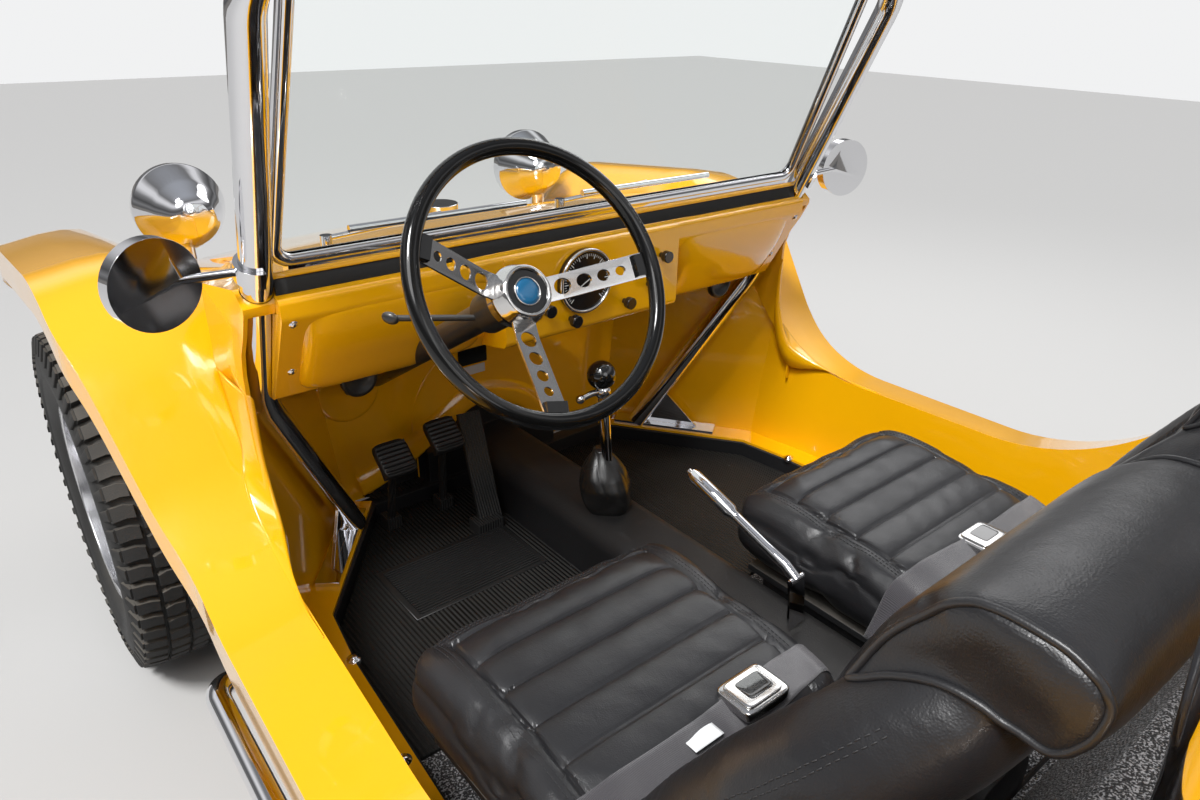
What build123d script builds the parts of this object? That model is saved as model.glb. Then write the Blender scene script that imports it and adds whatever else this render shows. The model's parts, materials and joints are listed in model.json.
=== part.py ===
from build123d import *
import math
import os

# Open two-seat dune buggy on a shortened floor pan with a rear engine.
# Millimetres. +X is the vehicle's left, +Y points rearwards, +Z is up.
# Everything is drawn with s, the station behind the front axle, along Y, and the
# finished pieces are moved at the end so that the origin lies on the ground
# below the middle of the whole vehicle.

# Running gear
WHEELBASE = 2032.0
FRONT_TRACK_HALF = 690.0
REAR_TRACK_HALF = 675.0
FRONT_TYRE_R, FRONT_TYRE_W = 350.0, 215.0
REAR_TYRE_R, REAR_TYRE_W = 385.0, 265.0
RIM_R = 190.5
RIM_WALL = 6.0
RIM_SLOTS = 5
TYRE_SEAT = 0.3
HUB_R = 34.0
DRUM_R, DRUM_DEPTH = 118.0, 45.0
KINGPIN_X = 600.0
KINGPIN_R = 22.0
STEER_ARM = 110.0
RUNNING_GAP = 6.0

# Glass fibre body
BODY_T = 6.0
FLANGE_H = 65.0
ROOF_BASE_Z = 250.0
LEDGE_Z = 300.0
LEDGE_W = 52.0
CAVITY_TOP_Z = 940.0
FENDER_LIP_Z = 470.0
TAIL_LIP_Z = 560.0
FIREWALL_S = 235.0
BULKHEAD_S = 1880.0
SHELF_Z = 470.0
RISER_FOOT_S, RISER_TOP_S = 1500.0, 1590.0
FRONT_BOX_X, FRONT_BOX_Z = 362.0, 500.0
HOOD_X = 440.0
COWL_X = 604.0
ARCH_X, ARCH_TOP_Z = 180.0, 600.0
COWL_END_S, COWL_LIP_Z = 612.0, 880.0
PANEL_JOINT = 0.5
TAIL_PANEL_S = 2190.0
DECK_Z, WELL_X = 872.0, 506.0

# Floor pan
PAN_FLOOR_Z = 262.0
PAN_T = 5.0
PAN_REAR_S = 1488.0
TUNNEL_X, TUNNEL_TOP_Z = 75.0, 380.0
HEAD_FRONT_S = -90.0

# Windscreen and cage
SCREEN_S, SCREEN_Z = 590.0, 946.0
SCREEN_RAKE = 21.8
SCREEN_TOP_Z = 1318.0
SCREEN_X, SCREEN_TOP_X = 548.0, 532.0
SCREEN_BAR = 11.0
GLASS_T = 5.0
CAGE_R = 22.0
CAGE_TOP_Z = 1345.0
HOOP_S = 1720.0
FOOT_T = 8.0
NERF_FOOT_Z = 274.0

# Cockpit
SEAT_X = 325.0
CUSHION_W, CUSHION_H = 500.0, 146.0
CUSHION_S, CUSHION_REAR_S, CUSHION_TOP_Z = 885.0, 1305.0, 496.0
CUSHION_FALL = 35.0
BACK_W, BACK_T, BACK_LEAN = 480.0, 105.0, 26.0
BACK_LENGTH = 560.0
WHEEL_CENTRE = (322.0, 917.0, 960.0)
WHEEL_TILT = 30.7
WHEEL_RIM_R, WHEEL_RIM_TUBE = 177.5, 14.0
WHEEL_DISH = 48.0
WHEEL_TURN = -14.0
COLUMN_R = 21.0
GAUGE_R = 57.0

# Rear
AXLE_Z = REAR_TYRE_R
ENGINE_S = 2165.0
SHROUD_X, SHROUD_TOP_Z = 310.0, 835.0

# Roof line of the wing and sill in four lengthwise planes, front to rear: station,
# height at the hood's edge, in the valley, at the crest and outside, corner radius
WING_PLANES = (330.0, 545.0, 650.0, 830.0)
WING_CUTS = (330.0, 430.0, 500.0, 545.0, 585.0, 620.0, 650.0, 685.0, 725.0, 775.0, 830.0)
WING_LINE = (
    (-440.0, 470.0, 470.0, 470.0, 470.0, 0.0),
    (-440.0, 690.0, 715.0, 812.0, 796.0, 230.0),
    (315.0, 850.0, 862.0, 897.0, 873.0, 330.0),
    (616.0, 520.0, 512.0, 501.0, 469.0, 330.0),
    (1230.0, 520.0, 512.0, 501.0, 469.0, 380.0),
    (1700.0, 900.0, 910.0, 915.0, 900.0, 330.0),
    (2330.0, 885.0, 892.0, 895.0, 880.0, 240.0),
    (2480.0, 560.0, 560.0, 560.0, 560.0, 0.0),
)
# Outer edge in plan: half width, station, corner radius
WING_PLAN = (
    (-100.0, -440.0, 0.0),
    (800.0, -440.0, 140.0),
    (800.0, 330.0, 300.0),
    (738.0, 620.0, 400.0),
    (752.0, 1100.0, 600.0),
    (815.0, 1650.0, 400.0),
    (815.0, 2480.0, 120.0),
    (-100.0, 2480.0, 0.0),
)
# Cockpit wall in plan: station, half width at the ledge, half width at the top
COCKPIT_PLAN = (
    (FIREWALL_S, 352.0, 420.0),
    (540.0, 576.0, 672.0),
    (690.0, 598.0, 680.0),
    (924.0, 614.0, 684.0),
    (1300.0, 636.0, 710.0),
    (1540.0, 640.0, 710.0),
    (1640.0, 505.0, 505.0),
    (BULKHEAD_S, 505.0, 505.0),
)
# Hood line: station, height at the middle, at the edge, corner radius
HOOD_EDGE_X = 620.0
HOOD_CUTS = (0.0, 220.0, 400.0, 520.0, HOOD_EDGE_X)
HOOD_LINE = (
    (-470.0, 470.0, 470.0, 0.0),
    (-470.0, 700.0, 640.0, 190.0),
    (250.0, 880.0, 850.0, 900.0),
    (585.0, 926.0, 914.0, 24.0),
    (COWL_END_S, 905.0, 893.0, 0.0),
)
# Joint between hood and wing in plan: half width, station
HOOD_PLAN = (
    (HOOD_X, -480.0),
    (HOOD_X, 120.0),
    (COWL_X, 420.0),
    (COWL_X, 640.0),
)


def offset_line(points, distance, side):
    """Open polyline moved sideways: side +1 is the left of travel, -1 the right."""
    normals = []
    for (u0, v0), (u1, v1) in zip(points, points[1:]):
        length = math.hypot(u1 - u0, v1 - v0)
        normals.append((-side * (v1 - v0) / length, side * (u1 - u0) / length))
    moved = []
    for index, (u, v) in enumerate(points):
        before = normals[max(index - 1, 0)]
        after = normals[min(index, len(normals) - 1)]
        scale = distance / (1.0 + before[0] * after[0] + before[1] * after[1])
        moved.append((u + scale * (before[0] + after[0]), v + scale * (before[1] + after[1])))
    return moved


def offset_radii(points, radii, distance, side):
    """Corner radii that keep the wall even when the line moves sideways."""
    changed = []
    for (u0, v0), (u1, v1), (u2, v2), radius in zip(points, points[1:], points[2:], radii):
        turn = (u1 - u0) * (v2 - v1) - (v1 - v0) * (u2 - u1)
        changed.append(radius - side * math.copysign(distance, turn))
    return changed


def line_region(points, radii, closing, inset=0.0, side=-1):
    """Flat face between a rounded line and the straight closing points."""
    if inset:
        radii = offset_radii(points, radii, inset, side)
        points = offset_line(points, inset, side)
    roof = FilletPolyline(*points, radius=radii)
    rest = Polyline(points[-1], *closing(points), points[0])
    return make_face(roof.edges() + rest.edges())


def both_sides(part):
    """The left piece and its mirror image on the right."""
    return part + mirror(part, about=Plane.YZ)


def bar(points, radius, bend=0.0):
    """Round bar along a path with even bends."""
    path = Line(*points) if len(points) == 2 else FilletPolyline(*points, radius=bend)
    return sweep(Plane(origin=path @ 0, z_dir=path % 0) * Circle(radius), path=path)


def block(x0, x1, s0, s1, z0, z1):
    """Rectangular block between two corners."""
    return Pos((x0 + x1) / 2, (s0 + s1) / 2, (z0 + z1) / 2) * Box(x1 - x0, s1 - s0, z1 - z0)


def drum(x0, x1, s, z, radius):
    """Cylinder along X."""
    return Pos((x0 + x1) / 2, s, z) * Rot(0, 90, 0) * Cylinder(radius, abs(x1 - x0))


def height_across(heights, x):
    """Height at x on a smooth cubic through the heights of the lengthwise planes."""
    last = len(WING_PLANES) - 1
    index = max(k for k in range(last) if k == 0 or WING_PLANES[k] <= x)
    slopes = []
    for k in (index, index + 1):
        low, high = max(k - 1, 0), min(k + 1, last)
        slopes.append((heights[high] - heights[low]) / (WING_PLANES[high] - WING_PLANES[low]))
    width = WING_PLANES[index + 1] - WING_PLANES[index]
    t = (x - WING_PLANES[index]) / width
    ease = t * t * (3 - 2 * t)
    bend = width * (slopes[0] * t * (1 - t) ** 2 - slopes[1] * t * t * (1 - t))
    return heights[index] + (heights[index + 1] - heights[index]) * ease + bend


def under_wing(inset=0.0):
    """Solid below the left wing's roof line, drawn between lengthwise cuts."""
    faces = []
    for x in WING_CUTS:
        points = [(row[0], height_across(row[1:5], x)) for row in WING_LINE]
        radii = [row[-1] for row in WING_LINE[1:-1]]
        face = line_region(
            points, radii, lambda p: ((p[-1][0], ROOF_BASE_Z), (p[0][0], ROOF_BASE_Z)), inset
        )
        faces.append(Plane.YZ.offset(x) * face)
    return loft(faces, ruled=True)


def under_hood(inset=0.0):
    """Solid below the hood, left half, crowned across between lengthwise cuts."""
    faces = []
    for x in HOOD_CUTS:
        fall = (x / HOOD_EDGE_X) ** 2
        points = [(row[0], row[1] + (row[2] - row[1]) * fall) for row in HOOD_LINE]
        radii = [row[-1] for row in HOOD_LINE[1:-1]]
        face = line_region(
            points, radii, lambda p: ((p[-1][0], ROOF_BASE_Z), (p[0][0], ROOF_BASE_Z)), inset
        )
        faces.append(Plane.YZ.offset(x) * face)
    return loft(faces, ruled=True)


def wing_outline(inset=0.0):
    """Everything inside the outer edge in plan, left half."""
    points = [(x, s) for x, s, _ in WING_PLAN]
    radii = [radius for _, _, radius in WING_PLAN[1:-1]]
    face = line_region(points, radii, lambda p: (), inset, side=1)
    return extrude(Pos(0, 0, ROOF_BASE_Z - 10) * face, CAVITY_TOP_Z)


def hood_outline(inset=0.0):
    """Plan of the hood, left half, up to the joint with the wing."""
    line = offset_line(list(HOOD_PLAN), inset, 1)
    face = make_face(Polyline((0, line[0][1]), *line, (0, line[-1][1]), close=True))
    return extrude(Pos(0, 0, ROOF_BASE_Z - 20) * face, CAVITY_TOP_Z)


def cockpit_space(grow=0.0):
    """Solid of the open cockpit, left half, leaning out from the ledge to the top."""
    sketches = []
    for column, z in ((1, LEDGE_Z - grow), (2, CAVITY_TOP_Z)):
        line = [(row[column], row[0]) for row in COCKPIT_PLAN]
        line = offset_line([(0.0, FIREWALL_S)] + line + [(0.0, BULKHEAD_S)], grow, -1)
        sketches.append(Pos(0, 0, z) * make_face(Polyline(*line, close=True)))
    riser = make_face(
        Polyline(
            (RISER_FOOT_S + grow, LEDGE_Z - 60),
            (RISER_FOOT_S + grow, LEDGE_Z - grow),
            (RISER_TOP_S + grow, SHELF_Z - grow),
            (BULKHEAD_S + 60, SHELF_Z - grow),
            (BULKHEAD_S + 60, LEDGE_Z - 60),
            close=True,
        )
    )
    step = extrude(Plane.YZ.offset(-10) * riser, COWL_X + 200)
    return loft(sketches, ruled=True) - step


def ledge_line():
    """Foot of the cockpit wall in plan, from the firewall to the foot of the riser."""
    (s0, x0, _), (s1, x1, _) = COCKPIT_PLAN[4:6]
    end_x = x0 + (x1 - x0) * (RISER_FOOT_S - s0) / (s1 - s0)
    return [(row[1], row[0]) for row in COCKPIT_PLAN[:5]] + [(end_x, RISER_FOOT_S)]


def make_body_tub():
    """One-piece moulding: wings, sills, ledge, cockpit walls, shelf and rear deck."""
    over = under_wing()
    inside = wing_outline()
    skin = (over - under_wing(BODY_T)) & inside
    flange = (inside - wing_outline(BODY_T)) & (over - Pos(0, 0, -FLANGE_H) * over)
    space = cockpit_space()
    walls = (cockpit_space(BODY_T) - space) & (over + block(0, WING_PLANES[0], 0, 1950, 200, 860))
    walls -= block(-1, 900, FIREWALL_S - 10, RISER_FOOT_S - 10, 200, LEDGE_Z)
    floor_line = ledge_line()
    inner = offset_line(floor_line, LEDGE_W, 1)
    rooted = offset_line(floor_line, BODY_T - 1, -1)
    ledge_face = make_face(Polyline(*rooted, *reversed(inner), close=True))
    ledge = extrude(Pos(0, 0, LEDGE_Z) * ledge_face, BODY_T)
    front_box = block(FRONT_BOX_X, FRONT_BOX_X + BODY_T, WING_LINE[0][0], FIREWALL_S, FRONT_BOX_Z, 900) & over
    deck = block(0, WELL_X, BULKHEAD_S, TAIL_PANEL_S, DECK_Z, DECK_Z + BODY_T)
    tail = block(0, WELL_X, TAIL_PANEL_S - BODY_T, TAIL_PANEL_S, 640, DECK_Z + BODY_T)
    rear_wall = block(0, WELL_X, BULKHEAD_S, BULKHEAD_S + BODY_T, SHELF_Z, DECK_Z + BODY_T)
    well = block(WELL_X - BODY_T, WELL_X, BULKHEAD_S, 2470, TAIL_LIP_Z, 900) & over
    hood_plan = hood_outline(-PANEL_JOINT)
    above_hood = (hood_plan - under_hood(BODY_T + PANEL_JOINT)) & block(
        -1, 700, -600, COWL_END_S - 8, FRONT_BOX_Z, 1200)
    joint = (hood_outline(-PANEL_JOINT - BODY_T) - hood_plan) & (over - Pos(0, 0, -30) * over)
    joint &= block(0, 700, -600, FIREWALL_S, FENDER_LIP_Z, 1200)
    skin -= block(0, 900, -500, 0, 200, FENDER_LIP_Z) + block(0, 900, 2300, 2500, 200, TAIL_LIP_Z)
    skin -= above_hood
    skin -= block(0, WELL_X - BODY_T, BULKHEAD_S, 2500, 200, 1000)
    flange -= hood_plan
    half = skin + flange + joint + walls + front_box + deck + tail + rear_wall + well
    half -= space
    half += ledge
    half -= above_hood
    half -= block(0, WELL_X - BODY_T, TAIL_PANEL_S, 2600, 200, 1000)
    half -= extrude(
        Plane.XZ.offset(-FIREWALL_S - 10) * (
            Pos(0, 320) * Rectangle(2 * ARCH_X, 200) + Pos(0, ARCH_TOP_Z - ARCH_X) * Circle(ARCH_X)),
        30,
    )
    half -= block(-400, 0, -600, 2600, 0, 1500)
    return both_sides(half) - column_cut(COLUMN_R - 6)


def make_hood_cowl():
    """Hood and cowl moulding with its turned-down edges."""
    over = under_hood()
    outline = hood_outline()
    skin = (over - under_hood(BODY_T)) & outline
    edge = (outline - hood_outline(BODY_T)) & over
    edge -= under_wing(-PANEL_JOINT)
    edge -= block(FRONT_BOX_X, 700, -600, 0, 200, FENDER_LIP_Z + 60)
    half = skin + edge
    half -= block(-1, 700, -600, 700, 200, FENDER_LIP_Z)
    half -= block(-1, COWL_X - BODY_T, COWL_END_S - 40, COWL_END_S + 20, 200, COWL_LIP_Z)
    half -= block(-300, 0, -600, 700, 0, 1500)
    half -= cage_clearance()
    return both_sides(half)


# Fascia in profile: station, height; the side panels lean forward below the lip
DASH_LINE = ((612.5, 905.0), (629.0, 901.0), (630.0, 872.0), (545.0, 721.0), (505.0, 716.0))
DASH_RADII = (9.0, 22.0, 12.0)
POD_LINE = ((612.5, 904.0), (631.0, 900.0), (631.0, 744.0), (552.0, 728.0))
POD_RADII = (8.0, 14.0)
DASH_X, POD_X = 560.0, 196.0
DASH_T = 5.0
POD_FACE_S = 631.0


def shell_between(line, radii, half_width, wall, deeper):
    """Open-backed moulding: a rounded profile carried across with end walls."""
    outer = line_region(line, radii, lambda p: (), 0.0)
    inner = line_region(line, radii, lambda p: (), wall)
    back = make_face(Polyline(line[0], line[-1], (line[-1][0] - deeper, line[-1][1] + deeper),
                              (line[0][0] - deeper, line[0][1]), close=True))
    solid = extrude(Plane.YZ.offset(-half_width) * outer, 2 * half_width)
    hollow = extrude(Plane.YZ.offset(-half_width + wall) * (inner + back), 2 * (half_width - wall))
    return solid - hollow


def make_dashboard():
    """Fascia with a padded-look lip, a prouder middle panel and a notch for the column."""
    main = shell_between(DASH_LINE, DASH_RADII, DASH_X, DASH_T, 20)
    pod = shell_between(POD_LINE, POD_RADII, POD_X, DASH_T, 6)
    core = extrude(
        Plane.YZ.offset(-POD_X + DASH_T) * line_region(POD_LINE, POD_RADII, lambda p: (), DASH_T),
        2 * (POD_X - DASH_T),
    )
    dash = (main - core) + pod
    dash -= column_cut(COLUMN_R + 14)
    dash -= block(-DASH_X, DASH_X, 400, COWL_END_S + 0.4, COWL_LIP_Z - 2, 1000)
    dash -= both_sides(cage_clearance())
    return Part() + max(dash.solids(), key=lambda solid: solid.volume)


def wheel_plane():
    """Plane of the steering wheel: x to the driver's right, z towards the driver."""
    tilt = math.radians(WHEEL_TILT)
    return Plane(origin=WHEEL_CENTRE, x_dir=(-1, 0, 0), z_dir=(0, math.cos(tilt), math.sin(tilt)))


def column_cut(radius):
    """Cylinder around the steering column, all the way down."""
    return wheel_plane() * (Pos(0, 0, -600) * Cylinder(radius, 1000))


def cage_front_path():
    """Left foot, knee at the fascia's end, top corners, then the right side."""
    left = [FOOT_POINT, (568.0, 503.0, 709.0), (589.0, 780.0, CAGE_TOP_Z)]
    right = [(-x, s, z) for x, s, z in reversed(left)]
    return left + right


FOOT_POINT = (378.0, 333.0, LEDGE_Z + BODY_T + FOOT_T)
CAGE_BENDS = (200.0, 90.0, 90.0, 200.0)


def cage_clearance():
    """Left front leg of the cage with room round it."""
    path = cage_front_path()[:3]
    return bar(path, CAGE_R + 1.0, CAGE_BENDS[:1])


def make_cage_front():
    """Front hoop from the ledge past the fascia's end and over the screen."""
    hoop = bar(cage_front_path(), CAGE_R, CAGE_BENDS) - block(-500, 500, 250, 420, 200, LEDGE_Z + BODY_T + 0.3)
    start = (COCKPIT_PLAN[0][1], COCKPIT_PLAN[0][0])
    end = (COCKPIT_PLAN[1][1], COCKPIT_PLAN[1][0])
    angle = math.degrees(math.atan2(end[0] - start[0], end[1] - start[1]))
    run = Plane(origin=(start[0], start[1], LEDGE_Z + BODY_T + 0.3), z_dir=(0, 0, 1)) * Rot(0, 0, -angle)
    plate = run * (Pos(-26, 165, FOOT_T / 2) * Box(44, 250, FOOT_T))
    gusset_face = make_face(Polyline((112, FOOT_T), (245, FOOT_T), (150, 105), close=True))
    gusset = run * (Pos(-29, 0, 0) * extrude(Plane.YZ * gusset_face, 6))
    half = plate + gusset
    return hoop + both_sides(half)


def rear_hoop_path():
    """Left foot on the shelf, shoulder, top corner, then the right side."""
    left = [(468.0, HOOP_S, SHELF_Z + 4), (468.0, HOOP_S, 900.0), (535.0, HOOP_S, 1080.0),
            (535.0, HOOP_S, CAGE_TOP_Z)]
    right = [(-x, s, z) for x, s, z in reversed(left)]
    return left + right


HOOP_BENDS = (160.0, 160.0, 90.0, 90.0, 160.0, 160.0)


def make_cage_rear():
    """Rear hoop with foot plates and the two stays down to the rear deck."""
    hoop = bar(rear_hoop_path(), CAGE_R, HOOP_BENDS)
    foot = block(436, 500, HOOP_S - 45, HOOP_S + 45, SHELF_Z + 0.3, SHELF_Z + FOOT_T)
    deck_z = DECK_Z + BODY_T
    stay = bar([(505.0, HOOP_S, 1250.0), (400.0, 2120.0, deck_z + 4)], CAGE_R * 0.8)
    pad = block(365, 435, 2080, 2160, deck_z + 0.3, deck_z + FOOT_T)
    stay -= block(0, 600, 1900, 2300, 800, deck_z + 0.3)
    return hoop + both_sides(foot + stay + pad)


def make_cage_rails():
    """Two rails that join the hoops over the cockpit."""
    rail = bar([(470.0, 780.0, CAGE_TOP_Z), (430.0, HOOP_S, CAGE_TOP_Z)], CAGE_R)
    rail -= bar([(-600.0, 780.0, CAGE_TOP_Z), (600.0, 780.0, CAGE_TOP_Z)], CAGE_R + 0.2)
    rail -= bar([(-600.0, HOOP_S, CAGE_TOP_Z), (600.0, HOOP_S, CAGE_TOP_Z)], CAGE_R + 0.2)
    middle = sorted(rail.solids(), key=lambda solid: solid.volume)[-1]
    return both_sides(middle)


def screen_point(x, z):
    """Point of the windscreen's middle plane at a height."""
    return (x, SCREEN_S + (z - SCREEN_Z) * math.tan(math.radians(SCREEN_RAKE)), z)


def glass_slab(grow):
    """Glass in its frame, grown all round for the groove."""
    low, high = SCREEN_Z + 2, SCREEN_TOP_Z - 2
    plane = Plane(origin=screen_point(0, SCREEN_Z), x_dir=(1, 0, 0),
                  z_dir=(0, -math.cos(math.radians(SCREEN_RAKE)), math.sin(math.radians(SCREEN_RAKE))))
    rise = (high - low) / math.cos(math.radians(SCREEN_RAKE))
    face = make_face(Polyline((-SCREEN_X + 2 - grow, 2 - grow), (SCREEN_X - 2 + grow, 2 - grow),
                              (SCREEN_TOP_X - 2 + grow, rise + grow), (-SCREEN_TOP_X + 2 - grow, rise + grow),
                              close=True))
    thick = GLASS_T + 2 * grow
    return plane * (Pos(0, 0, -thick / 2) * extrude(face, thick))


def make_windscreen_frame():
    """Bright frame round the flat glass on a foot rail along the cowl."""
    corners = [screen_point(SCREEN_X, SCREEN_Z), screen_point(SCREEN_TOP_X, SCREEN_TOP_Z),
               screen_point(-SCREEN_TOP_X, SCREEN_TOP_Z), screen_point(-SCREEN_X, SCREEN_Z)]
    path = FilletPolyline(*corners, radius=28, close=True)
    tube = sweep(Plane(origin=path @ 0, z_dir=path % 0) * Circle(SCREEN_BAR), path=path)
    rail = block(-530, 530, SCREEN_S - 13, SCREEN_S + 9, 860, SCREEN_Z)
    rail -= both_sides(under_hood(-0.3))
    rail -= block(-530, 530, SCREEN_S - 20, SCREEN_S + 20, 800, 905)
    frame = tube + rail
    return frame - glass_slab(0.2)


def make_windscreen_glass():
    """Flat laminated glass."""
    return glass_slab(0.0)


def make_floor_pan():
    """Shallow floor tray with its flange, middle tunnel and frame head."""
    rim = ledge_line()
    line = [(0.0, FIREWALL_S + 6), (rim[0][0], FIREWALL_S + 6), *rim[1:-1],
            (rim[-1][0], PAN_REAR_S - 2), (0.0, PAN_REAR_S - 2)]
    inner = offset_line(line[1:-1], LEDGE_W, 1)
    inner = [(0.0, inner[0][1])] + inner + [(0.0, line[-1][1])]
    inner[-2] = (inner[-2][0], line[-1][1])
    flange = make_face(Polyline(*line, close=True))
    tray = make_face(Polyline(*inner, close=True))
    well = offset_line(inner[1:-1], PAN_T, 1)
    well_face = make_face(Polyline((0.0, well[0][1] + PAN_T), *[(x, s) for x, s in well],
                                   (0.0, well[-1][1] - PAN_T), close=True))
    top = LEDGE_Z - 0.3
    half = extrude(Pos(0, 0, top - PAN_T) * flange, PAN_T)
    half += extrude(Pos(0, 0, PAN_FLOOR_Z - PAN_T) * tray, top - PAN_FLOOR_Z + PAN_T)
    half -= extrude(Pos(0, 0, PAN_FLOOR_Z) * well_face, 100)
    half -= block(-400, 0, 0, 2000, 0, 500)
    tunnel_face = make_face(FilletPolyline((-TUNNEL_X, PAN_FLOOR_Z - 30), (-TUNNEL_X, TUNNEL_TOP_Z),
                                           (TUNNEL_X, TUNNEL_TOP_Z), (TUNNEL_X, PAN_FLOOR_Z - 30),
                                           radius=(40, 40)).edges()
                            + Line((TUNNEL_X, PAN_FLOOR_Z - 30), (-TUNNEL_X, PAN_FLOOR_Z - 30)).edges())
    tunnel = extrude(Plane.XZ.offset(-FIREWALL_S + 20) * tunnel_face, -(PAN_REAR_S - FIREWALL_S + 20))
    tunnel += block(-TUNNEL_X, TUNNEL_X, PAN_REAR_S - 5, 1630, PAN_FLOOR_Z - 30, 288) - drum(-100, 100, 1640, 330, 60.3)
    head_face = make_face(Polyline((-170, FIREWALL_S + 30), (170, FIREWALL_S + 30), (95, HEAD_FRONT_S),
                                   (-95, HEAD_FRONT_S), close=True))
    head = extrude(Pos(0, 0, PAN_FLOOR_Z - 20) * head_face, 130)
    board = block(-ARCH_X - 8, ARCH_X + 8, FIREWALL_S - 14, FIREWALL_S - BODY_T - 1, PAN_FLOOR_Z - PAN_T, ARCH_TOP_Z + 8)
    return both_sides(half) + tunnel + head + board


def make_front_axle():
    """Twin torsion tubes with towers, trailing arms, carriers and dampers."""
    tubes = drum(-430, 430, BEAM_S, BEAM_LOW_Z, 30) + drum(-430, 430, BEAM_S, BEAM_HIGH_Z, 30)
    tubes += block(-110, 110, BEAM_S - 20, HEAD_FRONT_S - 0.3, BEAM_LOW_Z - 30, BEAM_HIGH_Z - 20)
    half = block(400, 412, BEAM_S - 42, BEAM_S + 42, BEAM_LOW_Z - 45, BEAM_HIGH_Z + 150)
    for z in (BEAM_LOW_Z, BEAM_HIGH_Z):
        half += drum(428, 482, BEAM_S, z, 32)
    for z, end_z in ((BEAM_LOW_Z, CARRIER_LOW_Z + 14), (BEAM_HIGH_Z, CARRIER_HIGH_Z - 14)):
        half += bar([(468, BEAM_S, z), (549, 0, end_z)], 13)
    half += block(540, 560, -24, 24, CARRIER_LOW_Z, CARRIER_HIGH_Z)
    for z0, z1 in ((CARRIER_LOW_Z, CARRIER_LOW_Z + 20), (CARRIER_HIGH_Z - 20, CARRIER_HIGH_Z)):
        half += block(540, KINGPIN_X, -22, 22, z0, z1)
        half += Pos(KINGPIN_X, 0, (z0 + z1) / 2) * Cylinder(22, z1 - z0)
    half += Pos(KINGPIN_X, 0, (CARRIER_LOW_Z + CARRIER_HIGH_Z) / 2) * Cylinder(9, CARRIER_HIGH_Z - CARRIER_LOW_Z)
    half += bar([(430, BEAM_S + 6, BEAM_HIGH_Z + 130), (490, -95, BEAM_LOW_Z + 8)], 17)
    half += bar([(400, BEAM_S + 6, BEAM_HIGH_Z + 130), (436, BEAM_S + 6, BEAM_HIGH_Z + 130)], 9)
    return tubes + both_sides(half)


BEAM_S, BEAM_LOW_Z, BEAM_HIGH_Z = -150.0, 295.0, 445.0
CARRIER_LOW_Z, CARRIER_HIGH_Z = 236.0, 466.0
DRUM_FACE_X = 634.0
SPINDLE_R = 15.0
ARM_Z, ARM_T = 420.0, 14.0
ROD_Z = 452.0
ROD_EYE_H = 18.0


def make_knuckle():
    """Left steering knuckle: kingpin sleeve, backing plate, spindle and steering arm."""
    low, high = CARRIER_LOW_Z + 20 + 0.5, CARRIER_HIGH_Z - 20 - 0.5
    sleeve = Pos(KINGPIN_X, 0, (low + high) / 2) * Cylinder(20, high - low)
    plate = drum(DRUM_FACE_X - 8, DRUM_FACE_X - 4, 0, FRONT_TYRE_R, DRUM_R - 4)
    spindle = drum(KINGPIN_X, FRONT_TRACK_HALF + 18, 0, FRONT_TYRE_R, SPINDLE_R)
    boss = drum(KINGPIN_X, DRUM_FACE_X - 4, 0, FRONT_TYRE_R, 30)
    end = (KINGPIN_X - 25, STEER_ARM)
    arm_face = make_face(Polyline((KINGPIN_X - 14, 0), (end[0] - 11, end[1]), (end[0] + 11, end[1]),
                                  (KINGPIN_X + 14, 0), close=True))
    arm = extrude(Pos(0, 0, ARM_Z) * arm_face, ARM_T)
    arm += Pos(end[0], end[1], ARM_Z + ARM_T / 2) * Cylinder(14, ARM_T)
    stud_top = ROD_Z - ROD_EYE_H / 2 - 0.5
    arm += Pos(end[0], end[1], (ARM_Z + stud_top) / 2) * Cylinder(7, stud_top - ARM_Z)
    pin_hole = Pos(KINGPIN_X, 0, (low + high) / 2) * Cylinder(9.05, high - low + 2)
    return (sleeve + plate + spindle + boss + arm) - pin_hole


def make_track_rod():
    """Rod that ties the two steering arms together, with an eye at each end."""
    reach = KINGPIN_X - 25
    rod = drum(-reach, reach, STEER_ARM, ROD_Z, 8)
    eye = Pos(reach, STEER_ARM, ROD_Z) * Cylinder(15, ROD_EYE_H)
    return rod + both_sides(eye)


def tyre_face(radius, width):
    """Half section of a tyre: tread, rounded shoulder, bulged side and bead."""
    half = width / 2
    seat = RIM_R + TYRE_SEAT
    bead = half - 22.5
    outer = FilletPolyline((0, radius), (half - 6, radius - 4), (half, radius - 70), (bead, seat + 17),
                           (bead, seat), (bead - 14, seat), (bead - 13, seat + 20), (half - 13, radius - 75),
                           (half - 30, radius - 17), (0, radius - 14),
                           radius=(14, 60, 8, 2, 3, 8, 50, 16))
    return make_face(outer.edges() + Line((0, radius - 14), (0, radius)).edges())


def make_tyre(x, s, radius, width):
    """Hollow tyre revolved about its axle."""
    half_face = tyre_face(radius, width)
    face = half_face + mirror(half_face, about=Plane.YZ)
    ring = revolve(Plane.XY * face, Axis.X, 360)
    return Pos(x, s, radius) * ring


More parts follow.
